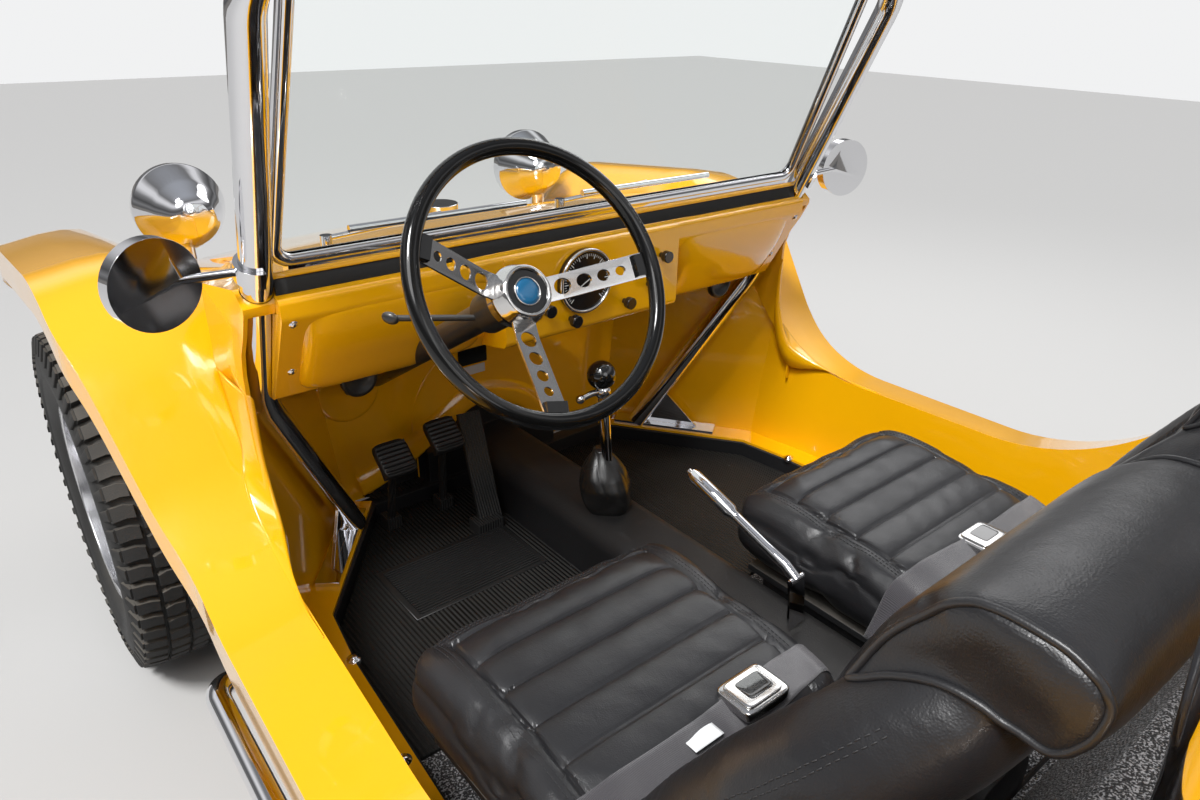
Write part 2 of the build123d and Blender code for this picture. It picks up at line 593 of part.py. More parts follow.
def make_rim(x, s, radius, width, drum_x0, drum_x1):
    """Slotted wheel with drop centre, dish, hub, cap and brake drum, on the left side."""
    half = width / 2 - 22
    lip, well = RIM_R, RIM_R - 22
    profile = FilletPolyline((-half - 6, lip + 14), (-half, lip + 14), (-half, lip), (-half + 26, lip),
                             (-half + 38, well), (half - 45, well), (half - 30, lip), (half, lip),
                             (half, lip + 14), (half + 6, lip + 14), (half + 6, lip - RIM_WALL),
                             (half - 26, lip - RIM_WALL), (half - 41, well - RIM_WALL),
                             (-half + 34, well - RIM_WALL), (-half + 22, lip - RIM_WALL),
                             (-half - 6, lip - RIM_WALL), radius=2, close=True)
    barrel = revolve(Plane.XY * make_face(profile.edges()), Axis.X, 360)
    dish_line = Polyline((-2, 0), (-2, 60), (24, 110), (24, well - 2), (36, well - 2), (36, 104), (10, 52), (10, 0),
                         close=True)
    dish = revolve(Plane.XY * make_face(dish_line), Axis.X, 360)
    for index in range(RIM_SLOTS):
        slot = Rot(index * 360 / RIM_SLOTS, 0, 0) * (Pos(20, 0, 128) * Rot(0, 90, 0) * extrude(
            SlotCenterToCenter(46, 34, rotation=90), 60, both=True))
        dish -= slot
    cap = Pos(22, 0, 0) * Rot(0, 90, 0) * Cone(HUB_R, HUB_R - 6, 28)
    wheel = Pos(x, s, radius) * (barrel + dish + cap)
    wheel += drum(drum_x0, x + 2, s, radius, 46)
    wheel += drum(drum_x0, drum_x1, s, radius, DRUM_R)
    return wheel


def make_front_wheel_rim():
    """Left front wheel with its bearing hole for the spindle."""
    rim = make_rim(FRONT_TRACK_HALF, 0, FRONT_TYRE_R, FRONT_TYRE_W, DRUM_FACE_X, DRUM_FACE_X + DRUM_DEPTH)
    rim -= drum(DRUM_FACE_X - 1, FRONT_TRACK_HALF + 18.3, 0, FRONT_TYRE_R, SPINDLE_R + 0.3)
    return rim


def make_rear_wheel_rim():
    """Left rear wheel with the hole for its axle shaft."""
    inner = REAR_TRACK_HALF - 75
    rim = make_rim(REAR_TRACK_HALF, WHEELBASE, REAR_TYRE_R, REAR_TYRE_W, inner, inner + DRUM_DEPTH)
    rim -= drum(inner - 1, REAR_TRACK_HALF - 10, WHEELBASE, REAR_TYRE_R, SPINDLE_R + 0.3)
    return rim


def make_transaxle():
    """Rear torsion housing, spring plates, gearbox, bell housing and axle tubes."""
    gear = Pos(0, 1840, 372) * Rot(90, 0, 0) * Cylinder(72, 320)
    gear += drum(-100, 100, WHEELBASE, AXLE_Z, 104)
    bell = Pos(0, 2110.7, AXLE_Z + 5) * Rot(90, 0, 0) * Cone(165, 110, 108)
    housing = drum(-400, 400, 1640, 330, 60)
    horns = both_sides(block(110, 150, 1690, 2140, 312, 348))
    half = drum(80, REAR_TRACK_HALF - 95, WHEELBASE, AXLE_Z, 36)
    half += drum(REAR_TRACK_HALF - 95, REAR_TRACK_HALF - 81, WHEELBASE, AXLE_Z, 84)
    half += drum(REAR_TRACK_HALF - 95, REAR_TRACK_HALF - 12, WHEELBASE, AXLE_Z, SPINDLE_R)
    half += drum(398, 446, 1640, 330, 72)
    plate = make_face(Polyline((1610, 300), (WHEELBASE, 352), (WHEELBASE, 418), (1610, 362), close=True))
    half += extrude(Plane.YZ.offset(447) * plate, 9)
    half += block(450, 490, 1990, 2074, 350, 422)
    half += bar([(470, WHEELBASE + 20, 365), (480, 1930, 690)], 18)
    return gear + bell + housing + horns + both_sides(half)


def make_engine():
    """Flat engine: crankcase, two finned banks with their heads, and the generator."""
    case = block(-125, 125, ENGINE_S, 2490, 285, 500)
    bank = Part()
    for s in (2245.0, 2375.0):
        bank += drum(120, 350, s, 400, 44)
        for index in range(8):
            x = 150 + index * 17
            bank += drum(x, x + 5, s, 400, 60)
    bank += block(290, 350, 2190, 2430, 345, 455)
    bank += block(350, 385, 2200, 2420, 352, 430)
    generator = Pos(0, 2480, 650) * Rot(90, 0, 0) * Cylinder(52, 170)
    stand = block(-38, 38, 2430, 2530, 495, 610)
    crank = Pos(0, 2510, 395) * Rot(90, 0, 0) * Cylinder(28, 60)
    pulleys = Pos(0, 2556, 395) * Rot(90, 0, 0) * Cylinder(84, 24)
    pulleys += Pos(0, 2572, 650) * Rot(90, 0, 0) * Cylinder(58, 20)
    belt = make_face(Polyline((-84, 395), (84, 395), (58, 650), (-58, 650), close=True))
    band = extrude(Plane.XZ.offset(-2556) * belt, 10) - extrude(
        Plane.XZ.offset(-2557) * (make_face(Polyline((-76, 400), (76, 400), (51, 645), (-51, 645), close=True))), 12)
    return case + both_sides(bank) + generator + stand + crank + pulleys + band


def make_fan_shroud():
    """Cooling shroud: tall rounded housing across the engine with its cylinder covers."""
    face = make_face(FilletPolyline((-SHROUD_X, 500.3), (-SHROUD_X, 700), (-150, SHROUD_TOP_Z), (150, SHROUD_TOP_Z),
                                    (SHROUD_X, 700), (SHROUD_X, 500.3), radius=(90, 130, 130, 90)).edges()
                     + Line((SHROUD_X, 500.3), (-SHROUD_X, 500.3)).edges())
    shroud = extrude(Plane.XZ.offset(-2235) * face, -140)
    ring = Pos(0, 2215, 650) * Rot(90, 0, 0) * (Cylinder(140, 41) - Cylinder(118, 50))
    cover = block(140, 345, 2195, 2425, 460.3, 506)
    return shroud + ring + both_sides(cover)


def make_air_cleaner():
    """Round air cleaner on the carburettor and its manifold."""
    neck = Pos(0, 2478, 734) * Cylinder(26, 63.4)
    can = Pos(0, 2478, 800) * Cylinder(82, 70)
    return neck + can


def make_exhaust():
    """Cross-mounted silencer with its header pipes and two tail pipes."""
    can = drum(-270, 270, 2616, 262, 62)
    half = bar([(330, 2215, 344.7), (330, 2215, 255), (330, 2616, 262), (262, 2616, 262)], 19, 45)
    half += bar([(160, 2616, 240), (160, 2690, 240)], 17)
    pipes = can + both_sides(half)
    return pipes - both_sides(bar([(160, 2640, 240), (160, 2700, 240)], 15))


def make_rear_bumper():
    """Bar round the engine from the torsion housing."""
    half = [(420.0, 1690.0, 296.0), (420.0, 2240.0, 290.0), (420.0, 2660.0, 440.0)]
    right = [(-x, s, z) for x, s, z in reversed(half)]
    tube = bar(half + right, CAGE_R, (300, 110, 110, 300))
    return tube - both_sides(drum(396, 448, 1640, 330, 72.3))


def make_front_bumper():
    """Cross bar with raised ends on two struts from the axle."""
    left = [(0.0, -570.0, 430.0), (430.0, -570.0, 430.0), (520.0, -540.0, 520.0)]
    tube = both_sides(bar(left, 19, 70))
    strut = bar([(190, -565, 428), (190, BEAM_S - 28, BEAM_LOW_Z + 75)], 12)
    strut += block(180, 200, BEAM_S - 52, BEAM_S - 30.3, BEAM_LOW_Z - 25, BEAM_HIGH_Z + 25)
    return tube + both_sides(strut)


def make_nerf_bars():
    """Side bars below the sills, bent in to the floor pan at both ends."""
    path = [(500.0, 620.0, NERF_FOOT_Z), (640.0, 620.0, NERF_FOOT_Z), (747.0, 620.0, 330.0),
            (764.0, 1430.0, 330.0), (660.0, 1430.0, NERF_FOOT_Z), (530.0, 1430.0, NERF_FOOT_Z)]
    tube = bar(path, CAGE_R * 0.82, (60, 60, 60, 60))
    inner = offset_line(ledge_line(), LEDGE_W - 0.3, 1)
    inside = make_face(Polyline((0, inner[0][1]), *inner, (0, inner[-1][1]), close=True))
    return both_sides(tube - extrude(Pos(0, 0, 100) * inside, 400))


def make_seat_base(side):
    """Runners and tray that carry one cushion."""
    x = side * SEAT_X
    base = Part()
    low, high = PAN_FLOOR_Z + 0.3, CUSHION_TOP_Z - CUSHION_H - 0.3
    for offset in (-165, 165):
        base += block(x + offset - 14, x + offset + 14, CUSHION_S + 70, CUSHION_REAR_S - 20, low, high)
    return base + block(x - 215, x + 215, CUSHION_S + 60, CUSHION_REAR_S - 10, high - 12, high)


def make_seat_cushion(side):
    """Seat cushion with a rounded front roll."""
    z0, z1 = CUSHION_TOP_Z - CUSHION_H, CUSHION_TOP_Z
    outline = FilletPolyline((CUSHION_S + 25, z0), (CUSHION_S, z1), (CUSHION_REAR_S, z1 - CUSHION_FALL),
                             (CUSHION_REAR_S, z0), radius=(60, 30, 15, 25), close=True)
    face = make_face(outline.edges())
    left = side * SEAT_X - CUSHION_W / 2
    return extrude(Plane.YZ.offset(left) * face, CUSHION_W)


def back_plane(side):
    """Plane of a seat back's front face: x across, y up the back, z towards the front."""
    lean = math.radians(BACK_LEAN)
    return Plane(origin=(side * SEAT_X, CUSHION_REAR_S + 0.4, CUSHION_TOP_Z - 78),
                 x_dir=(1, 0, 0), z_dir=(0, -math.cos(lean), math.sin(lean)))


def make_seat_back(side):
    """Seat back that narrows to a headrest."""
    w, h = BACK_W / 2, BACK_LENGTH
    outline = FilletPolyline((-w + 20, 0), (-w, 60), (-w, 300), (-155, 430), (-150, h), (150, h), (155, 430),
                             (w, 300), (w, 60), (w - 20, 0), radius=(30, 40, 60, 40, 60, 60, 40, 60, 40, 30),
                             close=True)
    slab = extrude(make_face(outline.edges()), -BACK_T)
    return back_plane(side) * slab


def make_lap_belts():
    """Lap belt halves over the cushions with their buckles."""
    belts = Part()
    length = CUSHION_REAR_S - CUSHION_S
    for side in (-1, 1):
        top = Plane(origin=(side * SEAT_X, CUSHION_S, CUSHION_TOP_Z), x_dir=(1, 0, 0), z_dir=(0, CUSHION_FALL, length))
        belts += top * block(-235, 235, length - 80, length - 32, 0.3, 3)
        belts += top * block(-40, 40, length - 87, length - 25, 0.3, 22)
    return belts


def make_steering_wheel():
    """Round rim on three drilled spokes with a dished hub and its shaft."""
    rim = Torus(WHEEL_RIM_R, WHEEL_RIM_TUBE)
    hub = Pos(0, 0, -WHEEL_DISH - 8) * Cylinder(38, 34) + Pos(0, 0, -WHEEL_DISH + 12) * Cylinder(31, 14)
    shaft = Pos(0, 0, -WHEEL_DISH - 55) * Cylinder(9, 70)
    wheel = rim + hub + shaft
    side_line = [(22, -WHEEL_DISH), (60, -WHEEL_DISH + 6), (166, -4)]
    for angle in (90 + WHEEL_TURN + 180, 12 + WHEEL_TURN, 168 + WHEEL_TURN):
        lower = offset_line(side_line, 4, -1)
        band = make_face(Polyline(*side_line, *reversed(lower), close=True))
        spoke = extrude(Plane.XZ.offset(-17) * band, 34)
        for r, hole in ((62, 11), (90, 9.5), (115, 8), (137, 6.5)):
            spoke -= Pos(r, 0, -20) * Cylinder(hole, 80)
        spoke += Pos(160, 0, -5) * Box(16, 30, 12)
        wheel += Rot(0, 0, angle) * spoke
    return wheel_plane() * wheel


def make_steering_column():
    """Column jacket with its switch stalk, the lower shaft and the steering box."""
    jacket = Pos(0, 0, -WHEEL_DISH - 26 - 2 - 275) * (Cylinder(COLUMN_R, 550))
    collar = Pos(0, 0, -WHEEL_DISH - 26 - 2 - 40) * Cylinder(COLUMN_R + 9, 80)
    bore = Pos(0, 0, -WHEEL_DISH - 60) * Cylinder(9.3, 100)
    stalk = bar([(0, 0, -150), (-120, -12, -150)], 4.5) + Pos(-128, -13, -150) * Sphere(9)
    lower = Pos(0, 0, -860) * Cylinder(10, 560)
    box = Pos(0, 0, -1130) * Box(66, 66, 80)
    column = wheel_plane() * ((jacket + collar + stalk - bore) + lower + box)
    mount = drum(270, 374, BEAM_S, BEAM_HIGH_Z, 42) - drum(260, 380, BEAM_S, BEAM_HIGH_Z, 30.3)
    bracket = block(300, 344, BEAM_S + 28, BEAM_S + 130, 395, 440)
    return column + mount + (bracket - drum(260, 380, BEAM_S, BEAM_HIGH_Z, 31))


def make_dash_instruments():
    """Round gauge, pull knobs and switches on the middle panel."""
    gauge = Pos(34, POD_FACE_S + 5.3, 836) * Rot(90, 0, 0) * Cylinder(GAUGE_R, 10)
    parts = gauge
    for x, z in ((-62, 778), (62, 770), (-120, 800), (-150, 850), (118, 800)):
        parts += Pos(x, POD_FACE_S + 10.3, z) * Rot(90, 0, 0) * (Cylinder(5, 20) + Pos(0, 0, -8) * Cylinder(11, 12))
    return parts


def make_pedals():
    """Clutch, brake and accelerator pedals on the floor."""
    pedals = Part()
    for x, s, z in ((314, 405, 470), (190, 376, 470)):
        foot_z = PAN_FLOOR_Z + 0.3
        pedals += bar([(x - 20, 318, foot_z + 14), (x, s - 8, z - 8)], 8)
        pad = Plane(origin=(x, s, z), x_dir=(1, 0, 0), z_dir=(0, 0.78, 0.62)) * Box(62, 66, 14)
        pedals += pad + block(x - 36, x - 4, 300, 336, foot_z, foot_z + 30)
    treadle = Plane(origin=(122, 398, 383), x_dir=(0.985, -0.17, 0), z_dir=(0.0, 0.9, 0.44)) * Box(52, 236, 9)
    heel = block(112, 172, 430, 470, PAN_FLOOR_Z + 0.3, 292)
    return pedals + (treadle + heel - block(0, 300, 300, 600, 100, PAN_FLOOR_Z + 0.3))


def make_hand_levers():
    """Gear lever with its ball and the hand brake between the seats."""
    top = TUNNEL_TOP_Z + 0.3
    lever = bar([(0, 668, top + 1), (0, 646, 640)], 6) + Pos(0, 644, 650) * Sphere(24)
    lever += bar([(-2, 652, 590), (34, 648, 592)], 4)
    brake = bar([(0, 1185, 450), (0, 940, 535)], 9) + bar([(0, 1010, 511), (0, 892, 552)], 14)
    brake += block(-26, 26, 1150, 1220, top, top + 12) + block(-10, 10, 1160, 1210, top, 462)
    return lever + brake


def make_lever_boot():
    """Soft boot round the foot of the gear lever on its plate."""
    top = TUNNEL_TOP_Z + 0.3
    plate = Pos(0, 668, top + 3) * Cylinder(54, 6)
    bag = Pos(0, 667, top + 6 + 48) * Cone(46, 15, 96)
    return plate + bag - bar([(0, 668.85, top - 9), (0, 646, 640)], 6.3)


LAMP_CENTRE = (455.0, -212.0, 851.0)
LAMP_R = 92.0


def make_headlight():
    """Bullet-shaped lamp bucket with its rim on a pedestal."""
    shape = make_face(FilletPolyline((-58, 0), (-58, LAMP_R), (-30, LAMP_R + 3), (30, LAMP_R - 22), (74, 40), (84, 0),
                                     radius=(3, 20, 60, 40)).edges() + Line((84, 0), (-58, 0)).edges())
    bucket = revolve(Plane.XY * shape, Axis.X, 360)
    bucket -= Pos(-58, 0, 0) * Rot(0, 90, 0) * Cylinder(LAMP_R - 9, 32)
    lamp = Pos(*LAMP_CENTRE) * Rot(0, 0, 90) * bucket
    post = Pos(LAMP_CENTRE[0] + 12, LAMP_CENTRE[1], LAMP_CENTRE[2] - 90) * Cylinder(20, 120)
    post -= under_wing(-0.3)
    post -= under_hood(-0.3)
    solids = sorted((lamp + post).solids(), key=lambda solid: solid.volume)
    return Part() + solids[-1]


def make_headlight_lenses():
    """Domed clear lenses seated in the bucket rims."""
    dome = Pos(-48, 0, 0) * Rot(0, 90, 0) * Cylinder(LAMP_R - 9.3, 9)
    lens = Pos(*LAMP_CENTRE) * Rot(0, 0, 90) * dome
    return both_sides(lens)


def make_indicators():
    """Amber lamps on the wing fronts."""
    front = WING_LINE[0][0]
    return both_sides(Pos(620, front - 12.3, 610) * Rot(90, 0, 0) * Cylinder(34, 24))


def make_tail_lamps():
    """Round red lamps on the wing tails."""
    run = Vector(0, 150, -322).normalized()
    out = Vector(0, 322, 150).normalized()
    centre = Vector(672, 2330, 883) + run * 178
    lamp = Plane(origin=centre + out * 12, z_dir=out) * Cylinder(46, 44)
    lamp -= under_wing(-0.3)
    return both_sides(sorted(lamp.solids(), key=lambda solid: solid.volume)[-1])


def make_filler_cap():
    """Fuel filler cap in the middle of the hood."""
    cap = Pos(0, 75, 838) * Cylinder(41, 50)
    cap -= both_sides(under_hood(-0.3))
    return Part() + sorted(cap.solids(), key=lambda solid: solid.center().Z)[-1]


def make_wipers():
    """Two wiper arms with their spindles and blades, parked along the screen's foot."""
    wipers = Part()
    for x in (450.0, 20.0):
        one = Pos(x, 545, 935) * Cylinder(9, 50)
        one -= both_sides(under_hood(-0.3))
        one = sorted(one.solids(), key=lambda solid: solid.center().Z)[-1]
        one += bar([(x, 545, 955), (x - 175, 578, 975)], 4)
        one += bar([(x - 330, 583, 972), (x - 20, 583, 974)], 5.5)
        wipers += one
    return wipers


def make_mirror():
    """Round mirror head on an arm clamped to the cage leg."""
    z = 945.0
    low, high = Vector(568, 503, 709), Vector(589, 780, CAGE_TOP_Z)
    axis = high - low
    on_leg = low + axis * ((z - low.Z) / axis.Z)
    clamp = Plane(origin=on_leg, z_dir=axis) * (Cylinder(CAGE_R + 7, 26) - Cylinder(CAGE_R + 0.3, 40))
    clamp -= block(0, on_leg.X - 3, 400, 900, 800, 1200)
    start = (on_leg.X + CAGE_R + 3, on_leg.Y, z)
    arm = bar([start, (706, 612, 950)], 6)
    head = Plane(origin=(706, 612, 950), z_dir=(-0.25, 0.97, 0.0)) * (Pos(0, 0, 0) * Cylinder(60, 22))
    return clamp + arm + head


def all_parts():
    """Every piece by node name, in the drawing's own frame."""
    parts = {
        "floor_pan": make_floor_pan(),
        "body_tub": make_body_tub(),
        "hood_cowl": make_hood_cowl(),
        "dashboard": make_dashboard(),
        "windscreen_frame": make_windscreen_frame(),
        "windscreen_glass": make_windscreen_glass(),
        "cage_front": make_cage_front(),
        "cage_rear": make_cage_rear(),
        "cage_rails": make_cage_rails(),
        "seat_bases": make_seat_base(1) + make_seat_base(-1),
        "seat_cushion_left": make_seat_cushion(1),
        "seat_cushion_right": make_seat_cushion(-1),
        "seat_back_left": make_seat_back(1),
        "seat_back_right": make_seat_back(-1),
        "lap_belts": make_lap_belts(),
        "steering_wheel": make_steering_wheel(),
        "steering_column": make_steering_column(),
        "dash_instruments": make_dash_instruments(),
        "pedals": make_pedals(),
        "hand_levers": make_hand_levers(),
        "lever_boot": make_lever_boot(),
        "headlights": both_sides(make_headlight()),
        "headlight_lenses": make_headlight_lenses(),
        "indicators": make_indicators(),
        "tail_lamps": make_tail_lamps(),
        "filler_cap": make_filler_cap(),
        "wipers": make_wipers(),
        "mirrors": both_sides(make_mirror()),
        "tube_bars": make_nerf_bars() + make_front_bumper() + make_rear_bumper(),
        "front_axle": make_front_axle(),
        "track_rod": make_track_rod(),
        "transaxle": make_transaxle(),
        "engine": make_engine(),
        "fan_shroud": make_fan_shroud() + make_air_cleaner(),
        "exhaust": make_exhaust(),
    }
    left_pieces = {
        "knuckle": make_knuckle(),
        "rim_front": make_front_wheel_rim(),
        "rim_rear": make_rear_wheel_rim(),
        "tyre_front": make_tyre(FRONT_TRACK_HALF, 0, FRONT_TYRE_R, FRONT_TYRE_W),
        "tyre_rear": make_tyre(REAR_TRACK_HALF, WHEELBASE, REAR_TYRE_R, REAR_TYRE_W),
    }
    for name, piece in left_pieces.items():
        parts[name + "_left"] = piece
        parts[name + "_right"] = mirror(piece, about=Plane.YZ)
    return parts


def main():
    """Build, centre on the ground and write one file per node."""
    parts = all_parts()
    boxes = [piece.bounding_box() for piece in parts.values()]
    front, rear = min(box.min.Y for box in boxes), max(box.max.Y for box in boxes)
    shift = -(front + rear) / 2
    os.makedirs("parts", exist_ok=True)
    for name, piece in parts.items():
        export_step(Pos(0, shift, 0) * piece, f"parts/{name}.step")
    print(f"reach {front:.1f} to {rear:.1f}, moved by {shift:.2f}, {len(parts)} nodes")


main()
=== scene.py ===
"""Dressed model of an open two-seat buggy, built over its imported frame."""

from __future__ import annotations

import json
import logging
import math
from collections.abc import Iterator, Sequence
from contextlib import contextmanager
from dataclasses import dataclass
from enum import Enum
from functools import cache

import bmesh
import bpy
import numpy as np
from mathutils import Matrix, Vector
from mathutils.bvhtree import BVHTree


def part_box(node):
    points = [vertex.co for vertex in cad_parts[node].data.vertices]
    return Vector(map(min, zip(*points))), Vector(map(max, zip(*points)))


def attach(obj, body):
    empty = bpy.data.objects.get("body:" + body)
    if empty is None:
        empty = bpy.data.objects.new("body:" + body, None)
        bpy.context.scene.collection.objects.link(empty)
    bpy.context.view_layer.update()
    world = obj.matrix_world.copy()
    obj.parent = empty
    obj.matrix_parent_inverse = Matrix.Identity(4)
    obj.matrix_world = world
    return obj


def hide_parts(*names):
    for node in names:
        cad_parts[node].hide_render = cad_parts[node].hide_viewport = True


LOG = logging.getLogger("buggy")
Array = np.ndarray
Mesh = bpy.types.Mesh
Node = bpy.types.Node
Piece = bpy.types.Object
Tree = bpy.types.NodeTree
Colour = tuple[float, float, float]
Point = tuple[float, float, float]
Profile = tuple[tuple[float, float], ...]
Values = dict[str, float | tuple[float, ...]]

LEFT: Point = (1, 0, 0)
REAR: Point = (0, 1, 0)
UP: Point = (0, 0, 1)
DOWN = Vector((0, 0, -1))
# Height in millimetres from which rays are cast down on the cushions
DROP_FROM = 620.0
# Sign of x and label of each side
SIDES = ((1, "left"), (-1, "right"))

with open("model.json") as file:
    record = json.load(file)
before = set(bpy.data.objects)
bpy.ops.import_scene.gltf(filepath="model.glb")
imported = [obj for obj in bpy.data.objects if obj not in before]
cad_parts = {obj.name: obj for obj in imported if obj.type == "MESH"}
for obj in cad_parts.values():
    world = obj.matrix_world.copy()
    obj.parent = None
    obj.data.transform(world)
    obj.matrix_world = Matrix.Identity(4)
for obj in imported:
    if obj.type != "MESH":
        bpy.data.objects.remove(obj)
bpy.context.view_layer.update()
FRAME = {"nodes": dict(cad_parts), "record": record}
NODES: dict[str, Piece] = FRAME["nodes"]
BODY_OF: dict[str, str] = {
    node: body for body, nodes in FRAME["record"]["behaviour"]["bodies"].items() for node in nodes
}


def axle_station() -> float:
    """Row Y of the front axle, from the middle of the left front tyre."""
    low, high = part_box("tyre_front_left")
    return (low[1] + high[1]) / 2


AXLE_Y = axle_station()


def row(x: float, s: float, z: float) -> Point:
    """Row-frame metres of a point given in millimetres: left, behind the front axle, up."""
    return (x / 1000, s / 1000 + AXLE_Y, z / 1000)


def rows(points: Array | Sequence[Sequence[float]]) -> Array:
    """Row-frame metres of many points in millimetres, as an array."""
    out = np.array(points, dtype=float) / 1000
    out[..., 1] += AXLE_Y
    return out


class Slot(Enum):
    """Material slots of the record."""

    BODY = "body_yellow"
    PAN = "pan_black"
    CHROME = "bright_trim"
    GLASS = "clear_glass"
    CHASSIS = "chassis_black"
    VINYL = "seat_vinyl"
    WEBBING = "belt_webbing"
    WHEEL = "wheel_black"
    GAUGE = "gauge_black"
    PEDAL = "pedal_rubber"
    BOOT = "boot_leather"
    AMBER = "amber_lens"
    RED = "red_lens"
    CAST = "cast_alloy"
    SHROUD = "shroud_black"
    EXHAUST = "exhaust_black"
    ALLOY = "wheel_alloy"
    TYRE = "tyre_rubber"


SLOT_OF = {part["node"]: Slot(part["material_slot"]) for part in FRAME["record"]["subparts"]}

# Surfaces worked out as arrays


def smoothstep(a: float, b: float, t: Array) -> Array:
    """0 below a, 1 above b, a cubic ease between."""
    u = np.clip((t - a) / (b - a), 0.0, 1.0)
    return u * u * (3 - 2 * u)


def power(t: Array, exponent: float) -> Array:
    """Signed power, sign(t) |t|^exponent, which squares a circle's sine or cosine."""
    return np.sign(t) * np.abs(t) ** exponent


def sampled(points: Sequence[Sequence[float]], count: int, passes: int = 0) -> Array:
    """Even samples of a polyline between its corners, smoothed by (before + 2 here + after) / 4.

    Args:
        points: corners of the line.
        count: number of samples.
        passes: how often it is smoothed.

    Returns:
        count rows with as many columns as the corners have.
    """
    corners = np.array(points, float)
    t = np.linspace(0, len(corners) - 1, count)
    line = np.column_stack([np.interp(t, np.arange(len(corners)), column) for column in corners.T])
    for _ in range(passes):
        line[1:-1] = (line[:-2] + 2 * line[1:-1] + line[2:]) / 4
    return line


def linked(name: str, data: bpy.types.ID) -> Piece:
    """New object at the origin with the given data, in the scene."""
    piece = bpy.data.objects.new(name, data)
    bpy.context.scene.collection.objects.link(piece)
    return piece


def mesh_object(name: str, points: Array, faces: Array | Sequence[Sequence[int]]) -> Piece:
    """Mesh object at the origin from points and faces.

    Args:
        name: name of the piece.
        points: n x 3 array of places in metres.
        faces: rows of point numbers.

    Returns:
        The linked object, shaded smooth.
    """
    mesh = bpy.data.meshes.new(name)
    flat = np.asarray(points, dtype=float).reshape(-1, 3)
    mesh.from_pydata(flat.tolist(), [], faces.tolist() if isinstance(faces, np.ndarray) else faces)
    mesh.update()
    mesh.shade_smooth()
    return linked(name, mesh)


def grid_faces(rows_: int, columns: int, close_u: bool = False, close_v: bool = False) -> Array:
    """Quads of a grid with rows_ x columns points: each joins (i, j), (i+1, j), (i+1, j+1), (i, j+1)."""
    i, j = np.meshgrid(np.arange(rows_ - (not close_u)), np.arange(columns - (not close_v)), indexing="ij")
    a, b = i * columns, ((i + 1) % rows_) * columns
    k = (j + 1) % columns
    return np.stack([a + j, b + j, b + k, a + k], axis=-1).reshape(-1, 4)


def wall_faces(layers: int, corners: int) -> Array:
    """Side quads of closed rings stacked in layers, each from a corner to the next and up."""
    return grid_faces(layers, corners, close_v=True)[:, [0, 3, 2, 1]]


def grid_object(
    name: str, points: Array, close_u: bool = False, close_v: bool = False, caps: bool = False
) -> Piece:
    """Object whose surface is a grid of points; caps closes the two ends of a grid closed in v."""
    nu, nv = points.shape[:2]
    faces = grid_faces(nu, nv, close_u, close_v).tolist()
    if caps:
        faces.append(list(range(nv)))
        faces.append(list(range((nu - 1) * nv, nu * nv))[::-1])
    piece = mesh_object(name, points, faces)
    outward(piece)
    return piece


@contextmanager
def opened(mesh: Mesh) -> Iterator[bmesh.types.BMesh]:
    """Opens a mesh for changes, which go back into it at the end."""
    bm = bmesh.new()
    bm.from_mesh(mesh)
    yield bm
    bm.to_mesh(mesh)
    bm.free()


def outward(piece: Piece, merge: float = 1e-6) -> None:
    """Merges doubles and points the faces of a closed piece outwards."""
    with opened(piece.data) as bm:
        bmesh.ops.remove_doubles(bm, verts=bm.verts, dist=merge)
        bmesh.ops.recalc_face_normals(bm, faces=bm.faces)
    piece.data.shade_smooth()


def ring(radius: float, count: int = 24, start: float = 0.0) -> Array:
    """count points on a circle, as columns (cos, sin) times the radius."""
    angle = start + np.arange(count) * 2 * math.pi / count
    return radius * np.stack([np.cos(angle), np.sin(angle)], axis=1)


def tube_grid(path: Array, section: Array, up: Point = UP) -> Array:
    """Profile carried along a path.

    Each station's frame is tangent t, side = t x up, rise = side x t; a point is
    path + section[:, 0] * side + section[:, 1] * rise.

    Args:
        path: n x 3 stations.
        section: m x 2 profile, or n x m x 2 where it changes on the way.
        up: direction that stays off the path's own.

    Returns:
        n x m x 3 points.
    """
    tangent = np.gradient(path, axis=0)
    tangent /= np.linalg.norm(tangent, axis=1, keepdims=True)
    side = np.cross(tangent, np.array(up, dtype=float))
    side /= np.linalg.norm(side, axis=1, keepdims=True)
    rise = np.cross(side, tangent)
    profile = np.broadcast_to(section, (len(path), *section.shape[-2:]))
    return path[:, None, :] + profile[..., :1] * side[:, None, :] + profile[..., 1:] * rise[:, None, :]


def spun(profile: Array, count: int, centre: Point, axis: Point, ref: Point) -> Array:
    """Profile (along, radius) turned about an axis.

    A point is centre + along * axis + radius * (cos a * ref + sin a * axis x ref).

    Returns:
        len(profile) x count x 3 points, closed in the second direction.
    """
    n = np.array(axis, dtype=float) / np.linalg.norm(axis)
    e1 = np.array(ref, dtype=float)
    e1 -= n * (e1 @ n)
    e1 /= np.linalg.norm(e1)
    e2 = np.cross(n, e1)
    turn = ring(1.0, count)
    radial = turn[:, :1] * e1 + turn[:, 1:] * e2
    return np.array(centre) + profile[:, None, :1] * n + profile[:, None, 1:2] * radial[None]


def turned(
    name: str, profile: Array, count: int, centre: Point, axis: Point, ref: Point, hollow: bool = False
) -> Piece:
    """Object turned from a profile (along, radius) as in spun; a hollow one's profile is a closed loop."""
    return grid_object(name, spun(profile, count, centre, axis, ref), close_u=hollow, close_v=True)


def bar(name: str, path: Array, section: Array, up: Point = UP) -> Piece:
    """Closed bar with a section carried along a path, as in tube_grid."""
    return grid_object(name, tube_grid(path, section, up), close_v=True, caps=True)


